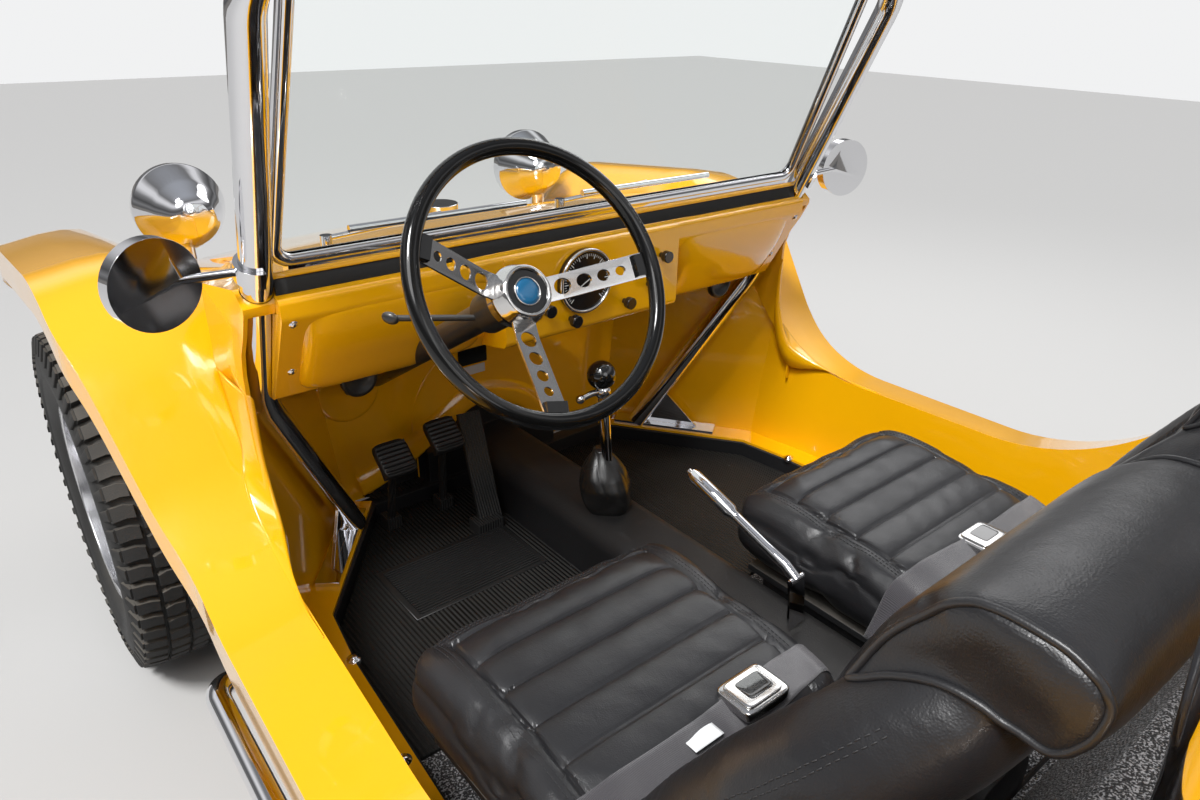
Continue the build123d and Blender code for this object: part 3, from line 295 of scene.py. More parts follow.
def faced(sheet: Piece, way: Point) -> Piece:
    """The sheet, turned over where its faces, summed by area, look against a direction."""
    aim = Vector(way)
    if sum(face.area * face.normal.dot(aim) for face in sheet.data.polygons) < 0:
        sheet.data.flip_normals()
    return sheet


def thickened(sheet: Piece, thickness: float, offset: float) -> Piece:
    """The sheet with a wall thickness in metres, on the side that offset gives (1 outside, -1 inside)."""
    solid = sheet.modifiers.new("thickness", "SOLIDIFY")
    solid.thickness = thickness
    solid.offset = offset
    return sheet


def joined(name: str, pieces: Sequence[Piece]) -> Piece:
    """One object of several meshes."""
    bm = bmesh.new()
    for piece in pieces:
        bm.from_mesh(piece.data)
    mesh = bpy.data.meshes.new(name)
    bm.to_mesh(mesh)
    bm.free()
    for piece in pieces:
        data = piece.data
        bpy.data.objects.remove(piece)
        bpy.data.meshes.remove(data)
    return linked(name, mesh)


def repeated(name: str, points: Array, faces: Array, frames: Array) -> Piece:
    """One mesh of many copies of a small shape.

    Args:
        name: name of the piece.
        points: k x 3 points of the small shape.
        faces: its faces, all with as many corners.
        frames: n x 3 x 4 matrices; a copy's point is M[:, :3] p + M[:, 3].

    Returns:
        The joined object.
    """
    placed = np.einsum("nij,kj->nki", frames[:, :, :3], points) + frames[:, None, :, 3]
    count, size = len(frames), len(points)
    numbers = faces[None] + (np.arange(count) * size)[:, None, None]
    return mesh_object(name, placed.reshape(-1, 3), numbers.reshape(-1, faces.shape[1]))


# Shader effects shared by several finishes


def add(tree: Tree, kind: str, values: Values | None = None, **settings: str) -> Node:
    """Adds a shader node.

    Args:
        tree: node tree that it goes into.
        kind: kind of node, as in ShaderNodeMath.
        values: plain values of its inputs, by name.
        settings: its own choices, such as operation.

    Returns:
        The new node.
    """
    made = tree.nodes.new("ShaderNode" + kind)
    for label, choice in settings.items():
        setattr(made, label, choice)
    for label, value in (values or {}).items():
        made.inputs[label].default_value = value
    return made


def wire(tree: Tree, joints: Sequence[tuple[Node, str | int, Node, str | int]]) -> None:
    """Joins nodes; each joint is a node, its output, the next node and its input."""
    for source, output, target, into in joints:
        tree.links.new(source.outputs[output], target.inputs[into])


class Effect:
    """Node groups with named float inputs and one output, each built once."""

    @staticmethod
    def tree(name: str, inputs: Values, output: str) -> tuple[Tree, Node, Node]:
        """New group: its tree, the node with its inputs and the node with its output."""
        tree = bpy.data.node_groups.new(name, "ShaderNodeTree")
        for label, value in inputs.items():
            made = tree.interface.new_socket(name=label, in_out="INPUT", socket_type="NodeSocketFloat")
            made.default_value = value
        tree.interface.new_socket(name=output, in_out="OUTPUT", socket_type="NodeSocketFloat")
        return tree, tree.nodes.new("NodeGroupInput"), tree.nodes.new("NodeGroupOutput")

    @staticmethod
    @cache
    def grain() -> Tree:
        """Pebbled grain: smooth distance to the nearest cell plus Break times fine noise."""
        tree, start, end = Effect.tree("grain", {"Scale": 700.0, "Break": 0.3}, "Height")
        where = add(tree, "TexCoord")
        cells = add(tree, "TexVoronoi", feature="SMOOTH_F1")
        noise = add(tree, "TexNoise", {"Detail": 3})
        mix = add(tree, "Math", operation="MULTIPLY_ADD")
        wire(tree, [
            (where, "Object", cells, "Vector"), (where, "Object", noise, "Vector"),
            (start, "Scale", cells, "Scale"), (start, "Scale", noise, "Scale"),
            (noise, "Fac", mix, 0), (start, "Break", mix, 1), (cells, "Distance", mix, 2), (mix, 0, end, 0),
        ])
        return tree

    @staticmethod
    @cache
    def mottle() -> Tree:
        """Slow noise stretched between two values, for uneven gloss and shade."""
        tree, start, end = Effect.tree("mottle", {"Scale": 6.0, "Low": 0.2, "High": 0.4}, "Value")
        where = add(tree, "TexCoord")
        noise = add(tree, "TexNoise", {"Detail": 5})
        span = add(tree, "MapRange", {"From Min": 0.3, "From Max": 0.7})
        wire(tree, [
            (where, "Object", noise, "Vector"), (start, "Scale", noise, "Scale"),
            (noise, "Fac", span, "Value"), (start, "Low", span, "To Min"), (start, "High", span, "To Max"),
            (span, "Result", end, 0),
        ])
        return tree

    @staticmethod
    @cache
    def dust() -> Tree:
        """Thin dust on faces that look up, in soft patches: Amount times noise times the upward share."""
        tree, start, end = Effect.tree("dust", {"Amount": 0.3, "Scale": 9.0}, "Mask")
        where = add(tree, "TexCoord")
        surface = add(tree, "NewGeometry")
        split = add(tree, "SeparateXYZ")
        noise = add(tree, "TexNoise", {"Detail": 8})
        up = add(tree, "MapRange", {"From Min": 0.2})
        patch = add(tree, "Math", operation="MULTIPLY")
        total = add(tree, "Math", operation="MULTIPLY")
        wire(tree, [
            (surface, "Normal", split, 0), (split, "Z", up, "Value"), (where, "Object", noise, "Vector"),
            (start, "Scale", noise, "Scale"), (up, "Result", patch, 0), (noise, "Fac", patch, 1),
            (patch, 0, total, 0), (start, "Amount", total, 1), (total, 0, end, 0),
        ])
        return tree

    @staticmethod
    @cache
    def ribs() -> Tree:
        """Parallel ribs along an axis picked by weights: a sine of the weighted place over the pitch."""
        inputs = {"Along X": 1.0, "Along Y": 0.0, "Along Z": 0.0, "Pitch": 0.004}
        tree, start, end = Effect.tree("ribs", inputs, "Height")
        where = add(tree, "TexCoord")
        weights = add(tree, "CombineXYZ")
        dot = add(tree, "VectorMath", operation="DOT_PRODUCT")
        turns = add(tree, "Math", operation="DIVIDE")
        angle = add(tree, "Math", operation="MULTIPLY")
        angle.inputs[1].default_value = 2 * math.pi
        sine = add(tree, "Math", operation="SINE")
        wire(tree, [(start, "Along " + axis, weights, axis) for axis in "XYZ"])
        wire(tree, [
            (where, "Object", dot, 0), (weights, 0, dot, 1), (dot, "Value", turns, 0),
            (start, "Pitch", turns, 1), (turns, 0, angle, 0), (angle, 0, sine, 0), (sine, 0, end, 0),
        ])
        return tree


# Finishes

DUST_COLOUR = (0.42, 0.38, 0.32, 1)


def principled(name: str, values: Values) -> tuple[bpy.types.Material, Node]:
    """New material with plain values on its main shader, and that shader."""
    mat = bpy.data.materials.new(name)
    mat.use_nodes = True
    shader = mat.node_tree.nodes["Principled BSDF"]
    for label, value in values.items():
        shader.inputs[label].default_value = value
    return mat, shader


@dataclass(frozen=True)
class Finish:
    """A surface finish: its colours, gloss, grain, ribs and dust."""

    name: str
    colour: Colour
    second: Colour | None = None
    metallic: float = 0.0
    gloss: tuple[float, float] = (0.3, 0.4)
    gloss_scale: float = 6.0
    coat: float = 0.0
    coat_rough: float = 0.03
    grain: float = 0.0
    grain_scale: float = 700.0
    ribs: tuple[float, float, float] | None = None
    rib_pitch: float = 0.004
    rib_depth: float = 0.0
    dust: float = 0.0
    sheen: float = 0.0
    specular: float = 0.5
    waves: float = 0.0
    waves_scale: float = 3.0
    speckle: float = 0.0

    def make(self) -> bpy.types.Material:
        """Builds the material from the shared effects.

        Returns:
            The material, with its main shader last in the chain.
        """
        mat, shader = principled(self.name, {
            "Metallic": self.metallic, "Coat Weight": self.coat, "Coat Roughness": self.coat_rough,
            "Specular IOR Level": self.specular, "Sheen Weight": self.sheen,
        })
        tree = mat.node_tree
        low, high = self.gloss
        gloss = self.group(tree, Effect.mottle(), {"Scale": self.gloss_scale, "Low": low, "High": high})
        wire(tree, [(gloss, "Value", shader, "Roughness"), (self.tint(tree), "Result", shader, "Base Color")])
        last: Node | None = None
        for height, depth in self.relief(tree):
            bump = add(tree, "Bump", {"Strength": 1.0, "Distance": depth})
            wire(tree, [(height, 0, bump, "Height")])
            if last is not None:
                wire(tree, [(last, "Normal", bump, "Normal")])
            last = bump
        if last is not None:
            wire(tree, [(last, "Normal", shader, "Normal")])
        return mat

    @staticmethod
    def group(tree: Tree, effect: Tree, values: Values) -> Node:
        """Places a shared effect in a material with its own values."""
        node = add(tree, "Group")
        node.node_tree = effect
        for label, value in values.items():
            node.inputs[label].default_value = value
        return node

    def tint(self, tree: Tree) -> Node:
        """Colour: two shades mixed by slow noise or by specks, with dust over them."""
        second = self.second or tuple(c * 0.86 for c in self.colour)
        mix = add(tree, "Mix", data_type="RGBA")
        mix.inputs["A"].default_value = (*self.colour, 1)
        mix.inputs["B"].default_value = (*second, 1)
        if self.speckle:
            where = add(tree, "TexCoord")
            fleck = add(tree, "TexNoise", {"Scale": self.speckle, "Detail": 2})
            share = add(tree, "MapRange", {"From Min": 0.5, "From Max": 0.62})
            wire(tree, [(where, "Object", fleck, "Vector"), (fleck, "Fac", share, "Value")])
        else:
            share = self.group(tree, Effect.mottle(), {"Scale": 4.0, "Low": 0.0, "High": 1.0})
        wire(tree, [(share, 0, mix, "Factor")])
        if not self.dust:
            return mix
        dust = self.group(tree, Effect.dust(), {"Amount": self.dust, "Scale": 9.0})
        over = add(tree, "Mix", data_type="RGBA")
        over.inputs["B"].default_value = DUST_COLOUR
        wire(tree, [(mix, "Result", over, "A"), (dust, "Mask", over, "Factor")])
        return over

    def relief(self, tree: Tree) -> list[tuple[Node, float]]:
        """Nodes whose height feeds a bump, each with its depth in metres."""
        heights = []
        if self.waves:
            values = {"Scale": self.waves_scale, "Low": 0.0, "High": 1.0}
            heights.append((self.group(tree, Effect.mottle(), values), self.waves))
        if self.grain:
            values = {"Scale": self.grain_scale, "Break": 0.35}
            heights.append((self.group(tree, Effect.grain(), values), self.grain))
        if self.ribs:
            x, y, z = self.ribs
            values = {"Along X": x, "Along Y": y, "Along Z": z, "Pitch": self.rib_pitch}
            heights.append((self.group(tree, Effect.ribs(), values), self.rib_depth))
        return heights


ACROSS = (1.0, 0.0, 0.0)
FINISHES: dict[Slot, Finish] = {
    Slot.BODY: Finish("gelcoat", (0.94, 0.455, 0.0015), (0.92, 0.435, 0.0015), gloss=(0.16, 0.24), coat=1.0,
                      waves=0.0004, waves_scale=14.0),
    Slot.PAN: Finish("pan_enamel", (0.012, 0.012, 0.013), gloss=(0.4, 0.6), specular=0.3, grain=0.0003,
                     grain_scale=500.0, dust=0.04),
    Slot.CHROME: Finish("chrome", (0.80, 0.80, 0.82), (0.76, 0.76, 0.78), metallic=1.0, gloss=(0.035, 0.08)),
    Slot.CHASSIS: Finish("chassis_paint", (0.016, 0.016, 0.017), gloss=(0.25, 0.45), grain=0.0001, dust=0.25,
                         coat=0.3),
    Slot.VINYL: Finish("vinyl", (0.014, 0.014, 0.0155), (0.019, 0.019, 0.021), gloss=(0.30, 0.42),
                       gloss_scale=14.0, grain=0.00016, grain_scale=620.0, waves=0.0007, waves_scale=22.0),
    Slot.WEBBING: Finish("webbing", (0.036, 0.033, 0.039), (0.058, 0.054, 0.062), gloss=(0.7, 0.85),
                         ribs=ACROSS, rib_pitch=0.0016, rib_depth=0.0003, sheen=0.3),
    Slot.WHEEL: Finish("wheel_gloss", (0.004, 0.004, 0.004), gloss=(0.09, 0.16), coat=0.2, specular=0.4),
    Slot.GAUGE: Finish("gauge_black", (0.008, 0.008, 0.009), gloss=(0.15, 0.25), coat=0.5),
    Slot.PEDAL: Finish("pedal_rubber", (0.014, 0.014, 0.014), gloss=(0.55, 0.7), ribs=ACROSS,
                       rib_pitch=0.006, rib_depth=0.001),
    Slot.BOOT: Finish("boot_leather", (0.014, 0.0135, 0.013), gloss=(0.2, 0.3), grain=0.0002,
                      grain_scale=500.0),
    Slot.AMBER: Finish("amber_lens", (0.85, 0.22, 0.01), gloss=(0.08, 0.12), coat=1.0, ribs=ACROSS,
                       rib_pitch=0.005, rib_depth=0.0008),
    Slot.RED: Finish("red_lens", (0.5, 0.008, 0.008), gloss=(0.08, 0.12), coat=1.0, ribs=ACROSS,
                     rib_pitch=0.006, rib_depth=0.0008),
    Slot.CAST: Finish("cast_alloy", (0.42, 0.42, 0.43), (0.30, 0.30, 0.30), metallic=0.9, gloss=(0.4, 0.6),
                      grain=0.0006, grain_scale=260.0, dust=0.25),
    Slot.SHROUD: Finish("shroud_paint", (0.012, 0.012, 0.013), gloss=(0.2, 0.32), coat=0.4, dust=0.15),
    Slot.EXHAUST: Finish("heat_paint", (0.03, 0.028, 0.027), (0.06, 0.045, 0.035), gloss=(0.5, 0.75),
                         grain=0.0004, grain_scale=300.0, dust=0.25),
    Slot.ALLOY: Finish("wheel_alloy", (0.72, 0.72, 0.74), (0.62, 0.62, 0.64), metallic=1.0,
                       gloss=(0.14, 0.28), grain=0.0001),
    Slot.TYRE: Finish("tyre_rubber", (0.013, 0.013, 0.013), (0.022, 0.021, 0.020), gloss=(0.6, 0.8),
                      specular=0.3, grain=0.0004, grain_scale=420.0, dust=0.35),
}
EXTRA: dict[str, Finish] = {
    "carpet": Finish("carpet", (0.010, 0.010, 0.011), (0.30, 0.30, 0.31), gloss=(0.85, 0.95), grain=0.003,
                     grain_scale=260.0, speckle=330.0, sheen=0.1),
    "mat": Finish("floor_mat", (0.009, 0.009, 0.009), gloss=(0.5, 0.65), specular=0.3, ribs=ACROSS,
                  rib_pitch=0.0085, rib_depth=0.002, grain=0.0003, dust=0.03),
    # Dark rubber, which also colours the sheet of painted shade in the pedal opening
    "rubber_and_shade": Finish("rubber_and_painted_shade", (0.010, 0.010, 0.010), gloss=(0.35, 0.5)),
    "blue": Finish("emblem_blue", (0.008, 0.11, 0.24), gloss=(0.12, 0.2), coat=0.6),
    "stitch": Finish("stitch_thread", (0.03, 0.03, 0.032), gloss=(0.6, 0.7)),
    "piping": Finish("piping", (0.022, 0.022, 0.024), gloss=(0.3, 0.4), grain=0.0001),
    "dial": Finish("dial_white", (0.85, 0.86, 0.84), gloss=(0.4, 0.5)),
    "label": Finish("plate_blank", (0.72, 0.73, 0.74), gloss=(0.35, 0.45)),
    "spoke": Finish("spoke_polish", (0.70, 0.69, 0.68), (0.64, 0.63, 0.62), metallic=1.0, gloss=(0.10, 0.2)),
    "glossblack": Finish("ball_black", (0.005, 0.005, 0.005), gloss=(0.05, 0.09), coat=1.0),
}


class Finishes:
    """All materials, made once and handed out by slot or by name."""

    def __init__(self) -> None:
        """Builds every finish."""
        self.by_slot = {slot: finish.make() for slot, finish in FINISHES.items()}
        self.by_slot[Slot.GLASS] = self.clear_glass()
        self.extra = {name: finish.make() for name, finish in EXTRA.items()}

    @staticmethod
    def clear_glass() -> bpy.types.Material:
        """Clear glass with plain transmission."""
        return principled("clear_glass", {
            "Base Color": (0.96, 0.985, 0.975, 1), "Roughness": 0.0, "Transmission Weight": 1.0, "IOR": 1.08,
        })[0]

    def dress(self, piece: Piece, slot: Slot, extra: str | None = None, body: str = "root") -> None:
        """Gives a new piece its material, from its slot in the record or from a finish of its own, and its
        body.

        Args:
            piece: finished piece.
            slot: its slot in the record.
            extra: name of a finish of its own, where it isn't the slot's.
            body: body that it rides on.
        """
        piece.data.materials.clear()
        piece.data.materials.append(self.extra[extra] if extra else self.by_slot[slot])
        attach(piece, body)
        LOG.info("piece %s on %s", piece.name, body)


# The frame's own nodes, merged and softened


@dataclass
class SoftCopy:
    """A merged copy of one node with soft edges, which stands for it."""

    node: str
    finishes: Finishes
    bevel: float = 0.0015
    angle: float = 32.0

    def build(self) -> Piece:
        """Copies the node's mesh, merges it, marks sharp edges and bevels them."""
        source = NODES[self.node]
        mesh = source.data.copy()
        mesh.name = self.node + "_surface"
        with opened(mesh) as bm:
            bmesh.ops.remove_doubles(bm, verts=bm.verts, dist=2e-6)
            bmesh.ops.dissolve_limit(bm, angle_limit=math.radians(0.6), verts=bm.verts, edges=bm.edges)
        if "custom_normal" in mesh.attributes:
            mesh.attributes.remove(mesh.attributes["custom_normal"])
        mesh.shade_smooth()
        mesh.set_sharp_from_angle(angle=math.radians(self.angle))
        piece = linked(self.node + "_surface", mesh)
        if self.bevel:
            bevel = piece.modifiers.new("soft_edge", "BEVEL")
            bevel.width = self.bevel
            bevel.segments = 2
            bevel.limit_method = "ANGLE"
            bevel.angle_limit = math.radians(self.angle)
            bevel.harden_normals = False
        self.finishes.dress(piece, SLOT_OF[self.node], None, BODY_OF[self.node])
        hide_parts(self.node)
        return piece


# Soft goods


@dataclass
class Padding:
    """Swells a closed form like stuffed upholstery, with a cloth simulation inside the script."""

    voxel: float = 0.0075
    pressure: float = 4.0
    cap: float = 0.012
    frames: int = 14
    stiffness: float = 12.0
    bending: float = 2.0

    def swell(self, piece: Piece) -> None:
        """Remeshes, simulates with pressure and no gravity, and caps how far a point moves.

        Args:
            piece: closed form, a little smaller than the finished pad.
        """
        activate(piece)
        remesh = piece.modifiers.new("even", "REMESH")
        remesh.mode = "VOXEL"
        remesh.voxel_size = self.voxel
        bpy.ops.object.modifier_apply(modifier=remesh.name)
        before = coordinates(piece.data)
        cloth = piece.modifiers.new("swell", "CLOTH")
        settings = cloth.settings
        settings.use_pressure = True
        settings.uniform_pressure_force = self.pressure
        settings.tension_stiffness = settings.compression_stiffness = self.stiffness
        settings.bending_stiffness = self.bending
        settings.effector_weights.gravity = 0.0
        settings.quality = 5
        cloth.collision_settings.use_collision = False
        cloth.point_cache.frame_start = 1
        cloth.point_cache.frame_end = self.frames
        scene = bpy.context.scene
        for frame in range(1, self.frames + 1):
            scene.frame_set(frame)
        bpy.ops.object.modifier_apply(modifier=cloth.name)
        scene.frame_set(1)
        moved = coordinates(piece.data) - before
        length = np.linalg.norm(moved, axis=1, keepdims=True)
        moved *= np.minimum(1.0, self.cap / np.maximum(length, 1e-9))
        place(piece.data, before + moved)
        smooth = piece.modifiers.new("even_out", "SMOOTH")
        smooth.factor = 0.5
        smooth.iterations = 6
        bpy.ops.object.modifier_apply(modifier=smooth.name)
        fine = piece.modifiers.new("fine", "SUBSURF")
        fine.levels = fine.render_levels = 1
        bpy.ops.object.modifier_apply(modifier=fine.name)


def activate(piece: Piece) -> None:
    """Makes a piece the active and only selected object."""
    for other in bpy.context.selected_objects:
        other.select_set(False)
    piece.select_set(True)
    bpy.context.view_layer.objects.active = piece


def gathered(items: Sequence[object], key: str) -> Array:
    """n x 3 array of a vector property of a mesh's points or faces."""
    flat = np.empty(len(items) * 3)
    items.foreach_get(key, flat)
    return flat.reshape(-1, 3)


def coordinates(mesh: Mesh) -> Array:
    """n x 3 array of a mesh's points."""
    return gathered(mesh.vertices, "co")


def place(mesh: Mesh, points: Array) -> None:
    """Puts an array of points back into a mesh."""
    mesh.vertices.foreach_set("co", np.ascontiguousarray(points, dtype=float).reshape(-1))
    mesh.update()


def mirrored(piece: Piece, name: str) -> Piece:
    """The same piece on the vehicle's other side, with its faces turned back outwards."""
    mesh = piece.data.copy()
    points = coordinates(mesh)
    points[:, 0] *= -1
    place(mesh, points)
    mesh.flip_normals()
    return linked(name, mesh)


@dataclass
class Seats:
    """Two bucket seats in black vinyl with channelled inserts, piping and stitches."""

    finishes: Finishes
    middle: float = 325.0
    width: float = 500.0
    front: float = 889.0
    rear: float = 1302.0
    low: float = 353.0
    top: float = 500.0
    fall: float = 26.0
    insert_half: float = 178.0
    insert_front: float = 940.0
    pitch: float = 63.0
    channels: int = 5
    lean: float = 26.0
    foot: Point = (325.0, 1309.0, 420.0)
    back_table: tuple[tuple[float, ...], ...] = (
        (0, 205, 4, 6, -46), (60, 236, 14, 26, -66), (150, 243, 16, 40, -78), (250, 243, 12, 38, -86),
        (350, 238, 5, 32, -92), (430, 222, 0, 20, -98), (480, 200, -4, 8, -100), (520, 178, -8, 0, -100),
        (562, 150, -14, 0, -96),
    )
    head_corners: Profile = (
        (2, 466), (11, 506), (7, 560), (-8, 604), (-36, 624), (-76, 634), (-100, 626), (-108, 596),
        (-104, 564), (-82, 550), (-58, 546), (-34, 532), (-12, 500),
    )
    head_half: float = 156.0
    back_insert_half: float = 153.0
    back_insert_foot: float = 44.0
    back_pitch: float = 66.0
    stitch_pitch: float = 7.0
    stitch_line: Profile = ((0, 205), (60, 236), (150, 243), (350, 238), (430, 222), (480, 200), (520, 178))

    def cushion_form(self) -> Array:
        """Closed side profile carried across; each end is drawn in along a quarter circle.

        The profile is a superellipse of power 4.2 about the cushion's middle; across, its
        size is scaled by (1 - |t|^7)^(1/2.4), so the form closes in a rounded edge.
        """
        t = np.sin(np.linspace(-math.pi / 2, math.pi / 2, 61))
        size = (1 - np.abs(t) ** 7) ** (1 / 2.4)
        angle = np.linspace(0, 2 * math.pi, 96, endpoint=False)
        along, up = (power(wave(angle), 2 / 4.2) for wave in (np.cos, np.sin))
        half_s, half_z = (self.rear - self.front) / 2, (self.top - self.low) / 2
        s = (self.front + self.rear) / 2 + along[None] * half_s * (0.80 + 0.20 * size[:, None])
        s += np.where(along < 0, 18.0, 0.0) * (np.abs(t[:, None]) ** 3)
        z = (self.top + self.low) / 2 + up[None] * half_z * size[:, None]
        z -= self.fall * smoothstep(self.front, self.rear, s) * (up[None] > 0)
        x = self.middle + t[:, None] * (self.width / 2 - 4) * np.ones_like(s)
        return rows(np.stack([x, s, z], axis=-1))

    def channel_relief(self, x: Array, s: Array) -> Array:
        """Height of the sewn insert in millimetres over (x from the seat's middle, s).

        Ribs are |sin(pi n)|^0.28 between their seams; the border seam is a narrow
        bell-shaped groove; a broad bolster rises outside it.
        """
        inside = 1 - smoothstep(self.insert_half - 3, self.insert_half + 3, np.abs(x))
        end = self.insert_front + self.pitch * self.channels
        inside *= smoothstep(self.insert_front - 4, self.insert_front + 2, s)
        inside *= 1 - smoothstep(end + 60, end + 70, s)
        phase = (s - self.insert_front) / self.pitch
        rib = np.abs(np.sin(math.pi * phase)) ** 0.28
        relief = inside * (8.0 * rib - 7.0)
        edge_x = np.exp(-((np.abs(x) - self.insert_half) / 3.2) ** 2) * (s > self.insert_front)
        edge_s = np.exp(-((s - self.insert_front) / 3.2) ** 2) * (np.abs(x) < self.insert_half)
        relief -= 5.0 * np.maximum(edge_x, edge_s)
        bolster = smoothstep(self.insert_half, self.insert_half + 26, np.abs(x)) * 9.0
        roll = smoothstep(self.insert_front, self.insert_front - 24, s) * 4.0
        return relief + np.maximum(bolster, roll * (np.abs(x) < self.insert_half + 10))

    def cushion(self) -> Piece:
        """Swollen left cushion with its insert pressed into the top."""
        piece = grid_object("seat_cushion_left_cover", self.cushion_form(), close_v=True, caps=True)
        Padding().swell(piece)
        points, normal = coordinates(piece.data), gathered(piece.data.vertices, "normal")
        x = points[:, 0] * 1000 - self.middle
        s = (points[:, 1] - AXLE_Y) * 1000
        upward = smoothstep(0.35, 0.8, normal[:, 2])
        lift = self.channel_relief(x, s) * upward
        crease = np.sin(x / 11.0 + 2.0 * np.sin(s / 37.0)) * np.sin(s / 23.0 + x / 41.0)
        lift += 0.35 * crease * upward
        rim = np.abs(normal[:, 2] - 0.45)
        lift -= 2.2 * np.exp(-(rim / 0.10) ** 2)
        place(piece.data, points + normal * (lift[:, None] / 1000))
        return piece

    def back_axes(self) -> tuple[Array, Array, Array]:
        """Across, up the back, and out of its front, as unit vectors."""
        lean = math.radians(self.lean)
        return (
            np.array([1.0, 0.0, 0.0]),
            np.array([0.0, math.sin(lean), math.cos(lean)]),
            np.array([0.0, -math.cos(lean), math.sin(lean)]),
        )

    def back_sections(self) -> Array:
        """Sections up the back, from a table of half width, front, bolster and rear in millimetres.

        At height v a point on the loop angle has x = half * cos^p and, from the middle depth,
        front + bolster * ease(|x|) or rear times sin^q; both ends shrink on a quarter circle.
        """
        table = np.array(self.back_table, float)
        ease = np.sin((np.linspace(0, 1, 90) - 0.5) * math.pi) * 0.5 + 0.5
        v = ease * table[-1, 0]
        half, front, bolster, rear = (np.interp(v, table[:, 0], table[:, k])[:, None] for k in (1, 2, 3, 4))
        end = np.maximum((1 - np.abs(2 * ease - 1) ** 12) ** 0.5, 0.02)[:, None]
        angle = np.linspace(0, 2 * math.pi, 110, endpoint=False)[None]
        ca, sa = np.cos(angle), np.sin(angle)
        x = half * (0.85 + 0.15 * end) * power(ca, 0.6)
        middle = (front + rear) / 2
        ahead = front + bolster * smoothstep(0.52, 0.84, np.abs(x) / half) - middle
        depth = np.where(sa > 0, ahead, middle - rear) * power(sa, 0.55) * end
        return np.stack([x, middle + depth, v[:, None] * np.ones_like(x)], axis=-1)

    def head_outline(self, count: int = 120) -> Array:
        """Closed outline (depth, height) of the headrest's end, a periodic cubic through its corners."""
        corners = np.array(self.head_corners, float)
        t = np.linspace(0, len(corners), count, endpoint=False)
        k = t.astype(int)
        u = (t - k)[:, None]
        p0, p1, p2, p3 = (corners[(k + d) % len(corners)] for d in (-1, 0, 1, 2))
        return 0.5 * (2 * p1 + (p2 - p0) * u + (2 * p0 - 5 * p1 + 4 * p2 - p3) * u ** 2
                      + (3 * p1 - p0 - 3 * p2 + p3) * u ** 3)

    def leant(self, local: Array) -> Array:
        """Row-frame metres of points (across, depth, height) in the back's own axes."""
        a, up, front = self.back_axes()
        origin = np.array(self.foot)
        return rows(origin + local[..., :1] * a + local[..., 2:] * up + local[..., 1:2] * front)

    def back(self) -> Piece:
        """Swollen left seat back with channels, bolsters and its thick headrest."""
        body = grid_object("back_body", self.leant(self.back_sections()), close_v=True, caps=True)
        outline = self.head_outline()
        t = np.sin(np.linspace(-math.pi / 2, math.pi / 2, 60))
        size = np.maximum((1 - np.abs(t) ** 24) ** 0.4, 0.05)[:, None, None]
        middle = outline.mean(axis=0)
        shape = middle + (outline[None] - middle) * (0.90 + 0.10 * size)
        x = np.broadcast_to((t * self.head_half)[:, None, None], (*shape.shape[:2], 1))
        rest = self.leant(np.concatenate([x, shape], axis=-1))
        head = grid_object("back_head", rest, close_v=True, caps=True)
        piece = joined("seat_back_left_cover", [body, head])
        Padding(cap=0.007).swell(piece)
        points, normal = coordinates(piece.data), gathered(piece.data.vertices, "normal")
        a, up, front = self.back_axes()
        local = (points - rows(np.array(self.foot))) * 1000
        x, v = local @ a, local @ up
        seam, foot = self.back_insert_half, self.back_insert_foot
        top = foot + 6 * self.back_pitch
        ahead = smoothstep(0.35, 0.8, normal @ front)
        inside = 1 - smoothstep(seam - 3, seam + 3, np.abs(x))
        inside *= smoothstep(foot - 4, foot + 2, v) * (1 - smoothstep(top - 4, top + 4, v))
        rib = np.abs(np.sin(math.pi * (v - foot) / self.back_pitch)) ** 0.3
        lift = ahead * inside * (7.0 * rib - 6.0)
        lift -= 4.5 * ahead * np.exp(-((np.abs(x) - seam) / 3.2) ** 2) * (v > foot - 4) * (v < top)
        crease = np.sin(x / 19.0 + 2.0 * np.sin(v / 47.0)) * np.sin(v / 29.0)
        lift += 0.3 * crease
        place(piece.data, points + normal * (lift[:, None] / 1000))
        return piece

    def on_cover(self, cover: Piece, local: Array, lift: float) -> tuple[Array, Array]:
        """Nearest points on a cover for points in the back's own axes, with their normals."""
        tree = bvh(cover)
        found, faces_up = [], []
        for point in self.leant(local).reshape(-1, 3):
            hit, normal, _, _ = tree.find_nearest(Vector(point))
            found.append(hit + normal * lift)
            faces_up.append(normal)
        return np.array(found), np.array(faces_up)

    def piping(self, cover: Piece) -> Piece:
        """Welts round both ends of the headrest, thin tubes laid on the cover."""
        outline = self.head_outline(180)
        made = []
        for sign, _ in SIDES[::-1]:
            local = np.column_stack([np.full(180, sign * (self.head_half - 4)), outline])
            path, normal = self.on_cover(cover, local, 0.0012)
            for _ in range(4):
                path = (np.roll(path, 1, axis=0) + path * 2 + np.roll(path, -1, axis=0)) / 4
            tangent = np.roll(path, -1, axis=0) - np.roll(path, 1, axis=0)
            tangent /= np.linalg.norm(tangent, axis=1, keepdims=True)
            side = np.cross(tangent, normal)
            side /= np.linalg.norm(side, axis=1, keepdims=True)
            rise = np.cross(side, tangent)
            section = ring(0.0032, 10)
            grid = path[:, None] + section[None, :, :1] * side[:, None] + section[None, :, 1:] * rise[:, None]
            made.append(grid_object("welt", grid, close_u=True, close_v=True))
        welt = joined("headrest_piping_left", made)
        welt.data.shade_smooth()
        return welt

